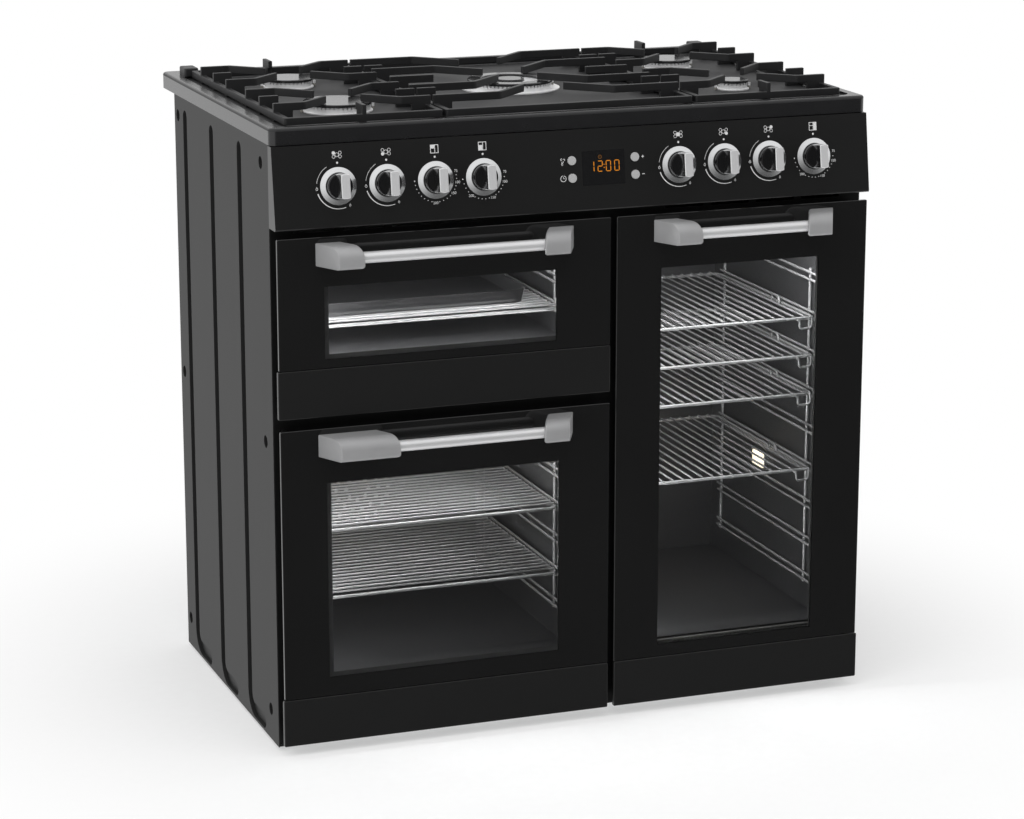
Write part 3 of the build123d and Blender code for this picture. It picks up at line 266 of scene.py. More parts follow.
def turned(bm, profile, place, steps=40, material=0):
    """Turn a profile of (radius, height) in mm about the z axis of a place."""
    rings = []
    for radius, rise in profile:
        count = steps if radius else 1
        rings.append([
            bm.verts.new(place @ Vector((
                radius * MM * math.cos(math.tau * i / steps),
                radius * MM * math.sin(math.tau * i / steps), rise * MM,
            )))
            for i in range(count)
        ])
    for low, high in zip(rings, rings[1:]):
        for i in range(steps):
            corners = [low[i % len(low)], low[(i + 1) % len(low)]]
            corners += [high[(i + 1) % len(high)], high[i % len(high)]]
            face = bm.faces.new(list(dict.fromkeys(corners)))
            face.material_index = material


side_coat = powder_coat("satin_black_powder_coat_sides", "#131313", "#171717", 0.62, 1.1)
dress(side_coat, "side_panel_left", "side_panel_right")

# Black-oxide screws: dark iron oxide over steel, grained at 0.7 mm and slightly oily, so it
# shines softly
black_oxide = finished("black_oxide_steel", "#0d0d0e", "#242425", 0.714, 0.5, 3.0, Metallic=0.6)


def screw_head(bm, place, radius, depth):
    """A domed head with a round socket, its bearing face on the place."""
    turned(bm, (
        (radius, 0), (radius, 0.35 * depth), (0.86 * radius, 0.75 * depth),
        (0.5 * radius, depth), (0.46 * radius, 0.5 * depth), (0, 0.45 * depth),
    ), place, 24)


recess_floor, head_radius, head_height = 444.0, 5.5, 3.2
for side, name in ((-1, "left"), (1, "right")):
    bm = bmesh.new()
    outward = Matrix.Rotation(side * math.pi / 2, 4, "Y")
    for y in (-219.0, 235.0):
        for z in (51.0, 448.5, 846.0):
            spot = Matrix.Translation(Vector((side * recess_floor, y, z)) * MM)
            screw_head(bm, spot @ outward, head_radius, head_height)
    make_piece(f"side_screws_{name}", bm, [black_oxide], "cooker")

# Back panel and base tray: bare hot-dip galvanised sheet, whose zinc sets in flat crystals,
# about 14 mm across, each a slightly different grey.
zinc, tree, place = new_material("hot_dip_galvanised_steel")
crystals = add_node(tree, "ShaderNodeTexVoronoi", {"Vector": place, "Scale": 1 / (14 * MM)})
grey = add_node(tree, "ShaderNodeSeparateColor", {0: crystals.outputs["Color"]})
tone = add_node(tree, "ShaderNodeMix", {
    0: grey.outputs[0], 6: from_hex("#95989a"), 7: from_hex("#aeb1b3"),
}, data_type="RGBA")
gloss = add_node(tree, "ShaderNodeMapRange", {
    "Value": grey.outputs[1], "To Min": 0.38, "To Max": 0.58,
})
spangle = add_node(tree, "ShaderNodeBsdfPrincipled", {
    "Base Color": tone.outputs[2], "Metallic": 1.0, "Roughness": gloss.outputs[0],
})
add_node(tree, "ShaderNodeOutputMaterial", {"Surface": spangle.outputs[0]})
dress(zinc, "back_panel", "base_tray")

# Front frame: pressed steel with the oven mouths, the cooling slots and the hinge pins, dipped
# in a black electro-coat that is glossier and thinner than powder.
e_coat = powder_coat("black_electro_coat", "#0c0c0c", "#121212", 0.30, 0.6)
dress(e_coat, "front_frame")

# Levelling feet and the terminal box at the back: moulded black nylon, with the dull, slightly
# mottled skin that glass-filled nylon takes from a spark-eroded mould, pitted every 0.5 mm.
nylon, tree, tone, grain = mottled("moulded_black_nylon", "#121213", "#1e1e20", 0.5)
sparks = add_node(tree, "ShaderNodeBump", {
    "Height": grain, "Strength": 0.3, "Distance": 0.04 * MM,
})
plastic = add_node(tree, "ShaderNodeBsdfPrincipled", {
    "Base Color": tone, "Roughness": 0.62, "Normal": sparks.outputs[0], "IOR": 1.53,
})
add_node(tree, "ShaderNodeOutputMaterial", {"Surface": plastic.outputs[0]})
dress(nylon, "foot_front_left", "foot_front_right", "foot_rear_left", "foot_rear_right")
dress(nylon, "terminal_box")

# Ovens: three boxes welded from sheet steel, the fan cover and the grill tray, fired with dark
# grey vitreous enamel. Enamel is glass: glossy, a little wavy over 9 mm, with pale flecks 0.8 mm
# across, one in each cell of 3.2 mm.
enamel_grey, tree, place = new_material("speckled_grey_vitreous_enamel")
flecks = add_node(tree, "ShaderNodeTexVoronoi", {"Vector": place, "Scale": 1 / (3.2 * MM)})
fleck = add_node(tree, "ShaderNodeMapRange", {
    "Value": flecks.outputs["Distance"], "From Min": 0.10, "From Max": 0.16,
    "To Min": 1.0, "To Max": 0.0,
})
tone = add_node(tree, "ShaderNodeMix", {
    0: fleck.outputs[0], 6: from_hex("#2a2a2b"), 7: from_hex("#55555a"),
}, data_type="RGBA")
wave = add_node(tree, "ShaderNodeTexNoise", {"Vector": place, "Scale": 1 / (9 * MM)})
ripples = add_node(tree, "ShaderNodeBump", {
    "Height": wave.outputs[0], "Strength": 0.2, "Distance": 0.12 * MM,
})
glaze = add_node(tree, "ShaderNodeBsdfPrincipled", {
    "Base Color": tone.outputs[2], "Roughness": 0.36, "Normal": ripples.outputs[0], "IOR": 1.55,
})
add_node(tree, "ShaderNodeOutputMaterial", {"Surface": glaze.outputs[0]})
dress(enamel_grey, "top_oven_liner", "main_oven_liner", "tall_oven_liner", "fan_cover")
dress(enamel_grey, "grill_tray")

# Racks and shelves: drawn steel wire, bent, spot-welded and bright chromium-plated. Chromium
# over polished wire is nearly a mirror, dulled by oven heat in patches of 6 mm.
chrome = finished(
    "bright_chromium_plated_wire", "#a4a4a5", "#bababb", 6, (0.16, 0.30), Metallic=0.6,
)
dress(chrome, "side_racks", "oven_shelves")


def wires(name, runs, diameter, material, body):
    """Bent wires along runs of points in mm, as one curve with round ends."""
    curve = bpy.data.curves.new(name, "CURVE")
    curve.dimensions = "3D"
    curve.bevel_depth = diameter / 2 * MM
    curve.bevel_resolution = 3
    curve.use_fill_caps = True
    for run in runs:
        spline = curve.splines.new("POLY")
        spline.points.add(len(run) - 1)
        for point, (x, y, z) in zip(spline.points, run):
            point.co = (x * MM, y * MM, z * MM, 1)
        spline.use_smooth = True
    curve.materials.append(material)
    made = bpy.data.objects.new(name, curve)
    scene.collection.objects.link(made)
    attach(made, body)


# Hooks that keep the tall oven's shelves from tipping: the front wire turns down and up again
# around the runner at each side, and a bridge stands on the side wire further back. Both are
# bent from chromium-plated wire and spot-welded on; sizes in mm from the rack.
oven_middle, rack_reach, front_wire, side_wire = 252, 146, -229, 9
first_rung, rung_pitch, hook_wire = 155.8, 58.3, 3.8
hook = [(-32, 0), (-29, -1), (-28, -5), (-28, -11), (-25, -14), (-12, -14)]
hook += [(-9, -12), (-8, -8), (-8, 0), (-9, 4)]
bridge = [(-115, 1), (-114, 8), (-110, 11), (-95, 11), (-91, 8), (-90, 1)]
runs = []
for rung in (3, 5, 6, 7):
    z = first_rung + rung_pitch * rung
    for side in (-1, 1):
        rack = oven_middle + side * rack_reach
        runs.append([(rack + side * x, front_wire, z + rise) for x, rise in hook])
        runs.append([(rack - side * side_wire, y, z + rise) for y, rise in bridge])
wires("shelf_hooks", runs, hook_wire, chrome, "cooker")

# Fan wheel and motor: plain pressed steel, dull grey with the long lines of the rolling mill,
# 0.2 mm apart. The ring and grill elements are nickel-alloy tube, which firing turns dull
# brown-grey, with blue and straw heat tints that drift along it over 71 mm.
steel = finished(
    "plain_pressed_steel", "#7f8182", "#a4a6a7", (5.0, 5.0, 0.2222), 0.42, 3.0, Metallic=1.0,
)
dress(steel, "fan_wheel", "fan_motor")

heat_tint, tree, place = new_material("heat_tinted_nickel_alloy")
drift = add_node(tree, "ShaderNodeTexNoise", {
    "Vector": place, "Scale": 1 / (71.43 * MM), "Detail": 3.0,
})
tints = add_node(tree, "ShaderNodeValToRGB", {"Fac": drift.outputs[0]})
for stop, code in ((0.3, "#3a3733"), (0.5, "#57504a"), (0.62, "#4c5058")):
    tints.color_ramp.elements.new(stop).color = from_hex(code)
tube = add_node(tree, "ShaderNodeBsdfPrincipled", {
    "Base Color": tints.outputs[0], "Metallic": 0.8, "Roughness": 0.55,
})
add_node(tree, "ShaderNodeOutputMaterial", {"Surface": tube.outputs[0]})
dress(heat_tint, "heating_elements")

# Door seals: braided glass-fibre rope round each mouth, dyed black, that drinks the light. Its
# strands cross every 5.7 mm: the wave node turns ten radians for each unit of x + y + z.
crossing = 5.7
braid, tree, place = new_material("braided_glass_fibre_rope")
strands = [
    add_node(tree, "ShaderNodeTexWave", {
        "Vector": add_node(tree, "ShaderNodeMapping", {
            "Vector": place, "Rotation": (0, angle, 0),
        }).outputs[0], "Scale": math.tau / (10 * math.sqrt(3) * crossing * MM), "Distortion": 0.6,
    }, bands_direction="DIAGONAL").outputs[1]
    for angle in (0.8, -0.8)
]
plait = add_node(tree, "ShaderNodeMath", {0: strands[0], 1: strands[1]}, operation="MAXIMUM")
tone = add_node(tree, "ShaderNodeMix", {
    0: plait.outputs[0], 6: from_hex("#101010"), 7: from_hex("#2c2b29"),
}, data_type="RGBA")
weave = add_node(tree, "ShaderNodeBump", {
    "Height": plait.outputs[0], "Strength": 0.7, "Distance": 0.4 * MM,
})
fibre = add_node(tree, "ShaderNodeBsdfPrincipled", {
    "Base Color": tone.outputs[2], "Roughness": 0.85, "Normal": weave.outputs[0],
    "Sheen Weight": 0.2, "Sheen Roughness": 0.5,
})
add_node(tree, "ShaderNodeOutputMaterial", {"Surface": fibre.outputs[0]})
dress(braid, "door_seals")

# Oven lamps: a pressed steel frame clipped to the wall holds a lens of heat-proof glass, ribbed
# and frosted, so that the lit lamp behind it shows as an even warm glow with no filament.
lit_lens, tree, tone, _ = mottled("frosted_lens_lit_from_behind", "#fff0cf", "#fffaf0", 4)
lens = add_node(tree, "ShaderNodeBsdfPrincipled", {
    "Base Color": tone, "Roughness": 0.35, "IOR": 1.47,
    "Emission Color": tone, "Emission Strength": 1.2,
})
add_node(tree, "ShaderNodeOutputMaterial", {"Surface": lens.outputs[0]})


def block(bm, low, high, edge, material=0):
    """A box between two corners in mm, with its edges bevelled."""
    middle = [(a + b) / 2 * MM for a, b in zip(low, high)]
    size = [(b - a) * MM for a, b in zip(low, high)]
    made = bmesh.ops.create_cube(
        bm, size=1, matrix=Matrix.Translation(middle) @ Matrix.Diagonal((*size, 1))
    )
    edges = {e for v in made["verts"] for e in v.link_edges}
    for face in {f for v in made["verts"] for f in v.link_faces}:
        face.material_index = material
    bmesh.ops.bevel(
        bm, geom=list(edges), offset=edge * MM, segments=2, profile=0.6, affect="EDGES",
        material=material,
    )


lamp_middle, rib_pitch = -28.0, 4.1
frame_bars = [(0, 4, -22.5, 22.5, -15.5, -11.5, 0.5, 0), (0, 4, -22.5, 22.5, 11.5, 15.5, 0.5, 0)]
frame_bars += [(0, 4, -22.5, -18.5, -11.5, 11.5, 0.5, 0), (0, 4, 18.5, 22.5, -11.5, 11.5, 0.5, 0)]
lens_bars = [(0, 3, -18.5, 18.5, -11.5, 11.5, 0.4, 1)]
for rib in range(9):
    middle = -16.5 + rib * rib_pitch
    lens_bars.append((3, 7, middle - 1.6, middle + 1.6, -11.0, 11.0, 0.9, 1))
for name, wall, inward, z in (("tall", 405.0, -1, 297.6), ("main", -413.0, 1, 395.0)):
    bm = bmesh.new()
    for near, far, left, right, bottom, top, edge, material in frame_bars + lens_bars:
        depths = sorted((wall + inward * near, wall + inward * far))
        low = (depths[0], lamp_middle + left, z + bottom)
        high = (depths[1], lamp_middle + right, z + top)
        block(bm, low, high, edge, material)
    lamp_piece = make_piece(f"oven_lamp_{name}", bm, [steel, lit_lens], "cooker")
    if name == "tall":
        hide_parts("oven_lamps")
    glow_data = bpy.data.lights.new(f"oven_glow_{name}", "AREA")
    glow_data.energy = 0.25
    glow_data.color = (1.0, 0.86, 0.62)
    glow_data.size = 0.03
    glow = bpy.data.objects.new(f"oven_glow_{name}", glow_data)
    glow.location = Vector((wall + inward * 10.0, lamp_middle, z)) * MM
    glow.rotation_euler = (0, -inward * math.pi / 2, 0)
    glow.visible_camera = False
    glow.visible_glossy = False
    glow.visible_transmission = False
    scene.collection.objects.link(glow)

# Soft strips behind the edges of the doors carry the studio's light into the ovens, so that
# wires and enamel read through the glass: one over each mouth, one at its left, and one under
# the grill oven's shelf. Sizes and places in mm, power in watts.
for name, place, towards, spread, power in (
    ("top_upper", (-208.0, -238.0, 714.0), (0, 0.6, -0.8), (370, 14), 0.8),
    ("top_left", (-404.0, -238.0, 644.0), (0.8, 0.6, 0), (14, 116), 0.8),
    ("top_lower", (-208.0, -238.0, 597.0), (0, 0.8, -0.6), (370, 6), 0.5),
    ("main_upper", (-208.0, -238.0, 420.0), (0, 0.6, -0.8), (370, 14), 0.8),
    ("main_left", (-404.0, -238.0, 266.0), (0.8, 0.6, 0), (14, 284), 0.8),
    ("tall_upper", (252.0, -238.0, 682.0), (0, 0.6, -0.8), (266, 14), 1.5),
    ("tall_left", (108.0, -238.0, 397.5), (0.8, 0.6, 0), (14, 545), 1.6),
):
    width, height = (length * MM for length in spread)
    strip = area_light(f"strip_{name}", power, width, height, Vector(place) * MM, towards)
    strip.visible_camera = False
    strip.visible_transmission = False

# Gas rail, taps and inlet: machined brass behind the fascia, with the satin lines of the lathe,
# 0.3 mm apart, and a thin brown tarnish in patches of 29 mm.
brass, tree, tone, _ = mottled("machined_brass", "#8a6b35", "#c9a866", 28.57, 3.0)
lathe_lines = add_node(tree, "ShaderNodeMapping", {
    "Vector": add_node(tree, "ShaderNodeTexCoord").outputs["Object"],
    "Scale": (1 / (3.333 * MM), 1 / (0.2857 * MM), 1 / (3.333 * MM)),
}).outputs[0]
lines = add_node(tree, "ShaderNodeTexNoise", {"Vector": lathe_lines, "Scale": 1.0, "Detail": 2.0})
matt = add_node(tree, "ShaderNodeMapRange", {
    "Value": lines.outputs[0], "To Min": 0.26, "To Max": 0.46,
})
alloy = add_node(tree, "ShaderNodeBsdfPrincipled", {
    "Base Color": tone, "Metallic": 1.0, "Roughness": matt.outputs[0],
})
add_node(tree, "ShaderNodeOutputMaterial", {"Surface": alloy.outputs[0]})
dress(brass, "control_gear")

# Hob plate: pressed steel with a sunk well, sprayed and fired with black vitreous enamel. The
# rim and the lip are wiped to a gloss, the well keeps the drier skin of the spray, and the two
# stop blocks at the back are rough; a slow ripple of 25 mm runs through the glaze.
glaze_black, tree, tone, pool = mottled(
    "black_vitreous_enamel_of_the_hob", "#1b1b1c", "#212122", 25,
)
place = add_node(tree, "ShaderNodeTexCoord").outputs["Object"]
level = add_node(tree, "ShaderNodeSeparateXYZ", {0: place}).outputs[2]
rim = add_node(tree, "ShaderNodeMapRange", {
    "Value": level, "From Min": 897.0 * MM, "From Max": 899.5 * MM,
    "To Min": 0.62, "To Max": 0.26,
})
block_top = add_node(tree, "ShaderNodeMapRange", {
    "Value": level, "From Min": 900.3 * MM, "From Max": 900.6 * MM, "To Max": 0.50,
})
dry = add_node(tree, "ShaderNodeMath", {
    0: rim.outputs[0], 1: block_top.outputs[0],
}, operation="MAXIMUM")
lip = add_node(tree, "ShaderNodeMapRange", {
    "Value": level, "From Min": 895.3 * MM, "From Max": 895.7 * MM,
    "To Min": -0.43, "To Max": 0.0,
})
matt = add_node(tree, "ShaderNodeMath", {
    0: dry.outputs[0], 1: lip.outputs[0],
}, operation="ADD")
ripples = add_node(tree, "ShaderNodeBump", {
    "Height": pool, "Strength": 0.2, "Distance": 0.2 * MM,
})
glaze = add_node(tree, "ShaderNodeBsdfPrincipled", {
    "Base Color": tone, "Roughness": matt.outputs[0],
    "Normal": ripples.outputs[0], "IOR": 1.5,
})
add_node(tree, "ShaderNodeOutputMaterial", {"Surface": glaze.outputs[0]})
dress(glaze_black, "hob_plate")

# Burner bases and crowns: die-cast aluminium, shot-blasted to a fine bright grain that is drawn
# at 0.6 mm, coarse enough to show, and greyed a little by use in patches of 45 mm. The crowns
# are milled with a slot for each flame.
cast_alloy, tree, tone, _ = mottled(
    "shot_blasted_die_cast_aluminium", "#e2e2e3", "#f8f8f8", 45.45, 3.0,
)
shot = add_node(tree, "ShaderNodeTexNoise", {
    "Vector": add_node(tree, "ShaderNodeTexCoord").outputs["Object"], "Scale": 1 / (0.6 * MM),
})
grain = add_node(tree, "ShaderNodeBump", {
    "Height": shot.outputs[0], "Strength": 0.4, "Distance": 0.05 * MM,
})
alloy = add_node(tree, "ShaderNodeBsdfPrincipled", {
    "Base Color": tone, "Metallic": 0.4, "Roughness": 0.45, "Normal": grain.outputs[0],
})
add_node(tree, "ShaderNodeOutputMaterial", {"Surface": alloy.outputs[0]})
dress(cast_alloy, "burner_bases", "burner_crowns")

# Spark plug and flame probe beside each burner: a steel pin in a collar of steatite porcelain,
# which is left unglazed and so looks chalky grey, gritty at 0.8 mm.
porcelain = finished("unglazed_steatite_porcelain", "#6b6965", "#87847e", 0.8, 0.6, IOR=1.6)

well_floor, dish_floor, gap = 896.05, 897.55, 5.5
bm = bmesh.new()
for x, y, radius, foot in (
    (-306.5, 131.5, 35.0, well_floor), (-306.5, -116.5, 47.5, well_floor),
    (306.5, 131.5, 35.0, well_floor), (306.5, -116.5, 21.5, well_floor),
    (0.0, 7.5, 62.0, dish_floor),
):
    for side in (-1, 1):
        spot = Matrix.Translation(Vector((x + side * (radius + gap), y, foot)) * MM)
        turned(bm, ((2.1, 0), (2.1, 3.4), (1.8, 4.0), (0.9, 4.2)), spot, 20)
        turned(bm, ((0.9, 4.0), (0.9, 8.2), (0.5, 8.8), (0, 8.9)), spot, 16, 1)
make_piece("spark_plugs_and_probes", bm, [porcelain, steel], "cooker")

# Burner caps: thick pressed steel discs and a ring in black enamel, fired to a satin that picks
# up the pale studio wall at the low angle of the photograph.
satin_enamel, tree, tone, _ = mottled(
    "satin_black_vitreous_enamel", "#1c1c1d", "#272728", 33.33, 3.0,
)
pits = add_node(tree, "ShaderNodeTexNoise", {
    "Vector": add_node(tree, "ShaderNodeTexCoord").outputs["Object"], "Scale": 1 / (0.7 * MM),
})
skin = add_node(tree, "ShaderNodeBump", {
    "Height": pits.outputs[0], "Strength": 0.15, "Distance": 0.02 * MM,
})
satin = add_node(tree, "ShaderNodeBsdfPrincipled", {
    "Base Color": tone, "Roughness": 0.20, "Normal": skin.outputs[0], "IOR": 1.6,
})
add_node(tree, "ShaderNodeOutputMaterial", {"Surface": satin.outputs[0]})
dress(satin_enamel, "burner_caps")

# Pan supports: grey iron cast in sand, fettled and enamelled matt black. The casting's edges
# are rounded and its skin shows the sand, about 1.2 mm coarse.
cast_iron, tree, tone, _ = mottled("enamelled_sand_cast_iron", "#131314", "#1d1d1e", 55.56, 3.0)
sand = add_node(tree, "ShaderNodeTexNoise", {
    "Vector": add_node(tree, "ShaderNodeTexCoord").outputs["Object"],
    "Scale": 1 / (1.2 * MM), "Detail": 4.0,
})
skin = add_node(tree, "ShaderNodeBump", {
    "Height": sand.outputs[0], "Strength": 0.4, "Distance": 0.12 * MM,
})
matt = add_node(tree, "ShaderNodeMapRange", {
    "Value": sand.outputs[0], "To Min": 0.42, "To Max": 0.62,
})
iron = add_node(tree, "ShaderNodeBsdfPrincipled", {
    "Base Color": tone, "Roughness": matt.outputs[0], "Normal": skin.outputs[0], "IOR": 1.5,
})
add_node(tree, "ShaderNodeOutputMaterial", {"Surface": iron.outputs[0]})


def softened(name, width, material, body):
    """Show a CAD node with its sharp edges rounded by a width in mm."""
    bm = bmesh.new()
    bm.from_mesh(nodes[name].data)
    bm.transform(nodes[name].matrix_world)
    bmesh.ops.remove_doubles(bm, verts=bm.verts, dist=1e-5)
    bmesh.ops.dissolve_limit(
        bm, angle_limit=math.radians(1), verts=bm.verts, edges=bm.edges,
    )
    for face in bm.faces:
        face.material_index = 0
    made = make_piece(f"{name}_softened", bm, [material], body)
    rounding = made.modifiers.new("rounding", "BEVEL")
    rounding.width = width * MM
    rounding.segments = 2
    rounding.limit_method = "ANGLE"
    rounding.angle_limit = math.radians(35)
    rounding.harden_normals = True
    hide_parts(name)


for side in ("left", "centre", "right"):
    softened(f"pan_support_{side}", 0.8, cast_iron, f"pan_support_{side}")

# Control panel: a folded steel fascia leaning back 8 degrees, in the same satin black powder,
# smoother than on the sides. Its symbols are screen-printed in white ink, which stands a few
# hundredths proud and is broken up a little by the screen, at 0.5 mm.
fascia_coat = powder_coat("satin_black_powder_coat_fascia", "#121212", "#161616", 0.34, 0.9)
dress(fascia_coat, "control_panel")

ink = finished("screen_printed_white_ink", "#c6c6c6", "#dedede", 0.5, 0.5, IOR=1.48)

panel_lean = math.atan2(16.5, 114.5)
panel_foot_y, panel_foot_z = -289.0, 760.5
ink_height, knob_row = 0.04, 817.5
knob_columns = (-357.0, -286.4, -215.8, -145.2, 151.2, 221.8, 292.4, 363.0)


def on_panel(x, z, out=0.0):
    """A place on the leaning fascia: x to the right, y up its face, z out of it."""
    foot = Vector((x, panel_foot_y + (z - panel_foot_z) * math.tan(panel_lean), z)) * MM
    tilt = Matrix.Rotation(math.pi / 2 - panel_lean, 4, "X")
    return Matrix.Translation(foot) @ tilt @ Matrix.Translation((0, 0, out * MM))


def flat(bm, place, points, material=0):
    """One flat face through points in mm on a place."""
    corners = [bm.verts.new(place @ Vector((x * MM, y * MM, 0))) for x, y in points]
    bm.faces.new(corners).material_index = material


def band(bm, place, centre, radius, start, stop, thick_start, thick_stop, material=0):
    """An arc of printed line, anticlockwise from the right in degrees, that may taper."""
    count = max(2, round(abs(stop - start) / 6))
    rails = []
    for i in range(count + 1):
        share = i / count
        angle = math.radians(start + (stop - start) * share)
        half = (thick_start + (thick_stop - thick_start) * share) / 2
        rails.append([
            (centre[0] + r * math.cos(angle), centre[1] + r * math.sin(angle))
            for r in (radius - half, radius + half)
        ])
    for (a, b), (c, d) in zip(rails, rails[1:]):
        flat(bm, place, (a, b, d, c), material)


def disc(bm, place, centre, diameter):
    """A printed dot."""
    flat(bm, place, [
        (centre[0] + diameter / 2 * math.cos(math.tau * i / 20),
         centre[1] + diameter / 2 * math.sin(math.tau * i / 20)) for i in range(20)
    ])


def solid_box(bm, place, left, right, bottom, top, material=0):
    """A printed rectangle, filled."""
    corners = ((left, bottom), (right, bottom), (right, top), (left, top))
    flat(bm, place, corners, material)


def outline_box(bm, place, left, right, bottom, top, line):
    """A printed rectangle, drawn as four lines."""
    solid_box(bm, place, left, right, bottom, bottom + line)
    solid_box(bm, place, left, right, top - line, top)
    solid_box(bm, place, left, left + line, bottom + line, top - line)
    solid_box(bm, place, right - line, right, bottom + line, top - line)


def number(bm, place, text, centre, size):
    """Plain figures of a height in mm, centred on a point."""
    em_to_figure = 1.35
    letters = bpy.data.curves.new("figures", "FONT")
    letters.body = text
    letters.size = size * em_to_figure * MM
    letters.align_x = "CENTER"
    letters.align_y = "CENTER"
    holder = bpy.data.objects.new("figures", letters)
    mesh = holder.to_mesh()
    shift = Matrix.Translation((centre[0] * MM, centre[1] * MM, 0))
    mesh.transform(place @ shift)
    bm.from_mesh(mesh)
    holder.to_mesh_clear()
    bpy.data.objects.remove(holder)
    bpy.data.curves.remove(letters)


def flame(bm, place, centre, size):
    """A small flame, drawn as one outline."""
    half = [(0, 0.5), (0.16, 0.28), (0.33, 0.02), (0.34, -0.22), (0.2, -0.42), (0, -0.5)]
    ring = half + [(-x, y) for x, y in half[-2:0:-1]]
    outer = [(centre[0] + x * size, centre[1] + y * size) for x, y in ring]
    hollow = 0.62 * size
    inner = [(centre[0] + x * hollow, centre[1] + (y - 0.08) * hollow) for x, y in ring]
    for i in range(len(ring)):
        j = (i + 1) % len(ring)
        flat(bm, place, (outer[i], inner[i], inner[j], outer[j]))


def polar(angle, radius):
    """A point at an angle, anticlockwise from the right."""
    return radius * math.cos(math.radians(angle)), radius * math.sin(math.radians(angle))


# Round each oven knob stand the figures of its scale with dots between, round each gas knob two
# tapering bands between flames, and over each knob the sign of its oven or burner. The scales
# are figures with their angles, then the angle of the last dot.
bm = bmesh.new()
oven_scales = {
    2: ([(75, 20), (100, -9), (150, -38), (200, -93)], -180),
    3: ([(75, 10), (100, -15), (150, -67), (200, -128)], -177),
    7: ([(75, 10), (100, -15), (150, -67), (200, -128)], -177),
}
oven_signs = {2: (-5.2, 0.6, 44.4, 48.2), 3: (-5.2, 0.6, 37.8, 43.6), 7: (0.6, 5.2, 37.8, 48.2)}
burner_dots = [(-4.6, 2.6), (-4.6, -2.6), (0, 0), (4.6, -2.6), (4.6, 2.6)]
own_dot = {0: 0, 1: 1, 4: 2, 5: 3, 6: 4}
scale_radius, dot_radius, band_radius, sign_height = 32.0, 30.6, 31.2, 43
for k, x in enumerate(knob_columns):
    place = on_panel(x, knob_row, ink_height)
    disc(bm, place, (0, scale_radius), 3.0)
    if k in oven_scales:
        outline_box(bm, place, -6.0, 6.0, 37.0, 49.0, 0.9)
        solid_box(bm, place, 0.2, 1.1, 37.9, 48.1)
        solid_box(bm, place, -5.1, 0.2, 43.6, 44.5)
        solid_box(bm, place, *oven_signs[k])
        marks, last = oven_scales[k]
        for value, angle in marks:
            number(bm, place, str(value), polar(angle, scale_radius), 3.9)
        disc(bm, place, polar(last, 31.0), 1.8)
        angles = [a for _, a in marks] + [last]
        for high, low in zip(angles, angles[1:]):
            count = max(2, round((high - low) / 11))
            for i in range(1, count):
                disc(bm, place, polar(high + (low - high) * i / count, dot_radius), 1.3)
    else:
        for i, (dx, dy) in enumerate(burner_dots):
            ring = 2.6 if i == 2 else 2.1
            if own_dot[k] == i:
                disc(bm, place, (dx, sign_height + dy), 2 * ring + 0.6)
            else:
                band(bm, place, (dx, sign_height + dy), ring, 0, 360, 0.6, 0.6)
        band(bm, place, (0, 0), band_radius, 120, 171, 0.6, 0.6)
        flame(bm, place, polar(184, 31.0), 5.0)
        band(bm, place, (0, 0), band_radius, 197, 288, 1.5, 0.8)
        flame(bm, place, polar(300, 31.0), 4.0)

# Signs beside the buttons: a fan over a flame, a clock face, plus and minus
left_column, right_column, upper_row, lower_row = -13.0, 83.0, 832.25, 807.75
place = on_panel(left_column, upper_row, ink_height)
for turn in (20, 140, 260):
    hub = polar(turn, 1.9)
    band(bm, place, (-13.5 + hub[0], 0.8 + hub[1]), 1.4, turn - 60, turn + 150, 0.9, 0.6)
flame(bm, place, (-14.5, -4.2), 4.2)
place = on_panel(left_column, lower_row, ink_height)
band(bm, place, (-13.5, 0), 4.1, 100, 440, 0.8, 0.8)
solid_box(bm, place, -13.85, -13.15, 0, 2.8)
solid_box(bm, place, -13.15, -11.2, -0.35, 0.35)
for row in (upper_row, lower_row):
    solid_box(bm, on_panel(right_column, row, ink_height), 10.5, 14.5, -0.45, 0.45)
place = on_panel(right_column, upper_row, ink_height)
solid_box(bm, place, 12.05, 12.95, 0.45, 2.0)
solid_box(bm, place, 12.05, 12.95, -2.0, -0.45)
make_piece("fascia_print", bm, [ink], "cooker", closed=False)

# Clock: a smoked acrylic window flush with the fascia, its housing of the same black moulding
# behind, and amber seven-segment figures that glow just under its face.
smoked = finished("smoked_acrylic_window", "#121213", "#181819", 5.0, (0.16, 0.24), 4.0, IOR=1.49)
dress(smoked, "clock_module")

# Its figures are cells of phosphor, drawn grainy at 0.7 mm: the digits and the colon glow amber,
# and the small sign above them glows more faintly.
clock_inks = []
for name, dark, light, strength in (
    ("amber_vacuum_fluorescent_figures", "#cf7a12", "#e88d1c", 1.0),
    ("amber_figures_at_rest", "#5a370d", "#774a12", 0.8),
):
    lit, tree, tone, _ = mottled(name, dark, light, 0.7)
    phosphor = add_node(tree, "ShaderNodeBsdfPrincipled", {
        "Base Color": from_hex("#1a1206"), "Roughness": 0.4,
        "Emission Color": tone, "Emission Strength": strength,
    })
    add_node(tree, "ShaderNodeOutputMaterial", {"Surface": phosphor.outputs[0]})
    clock_inks.append(lit)

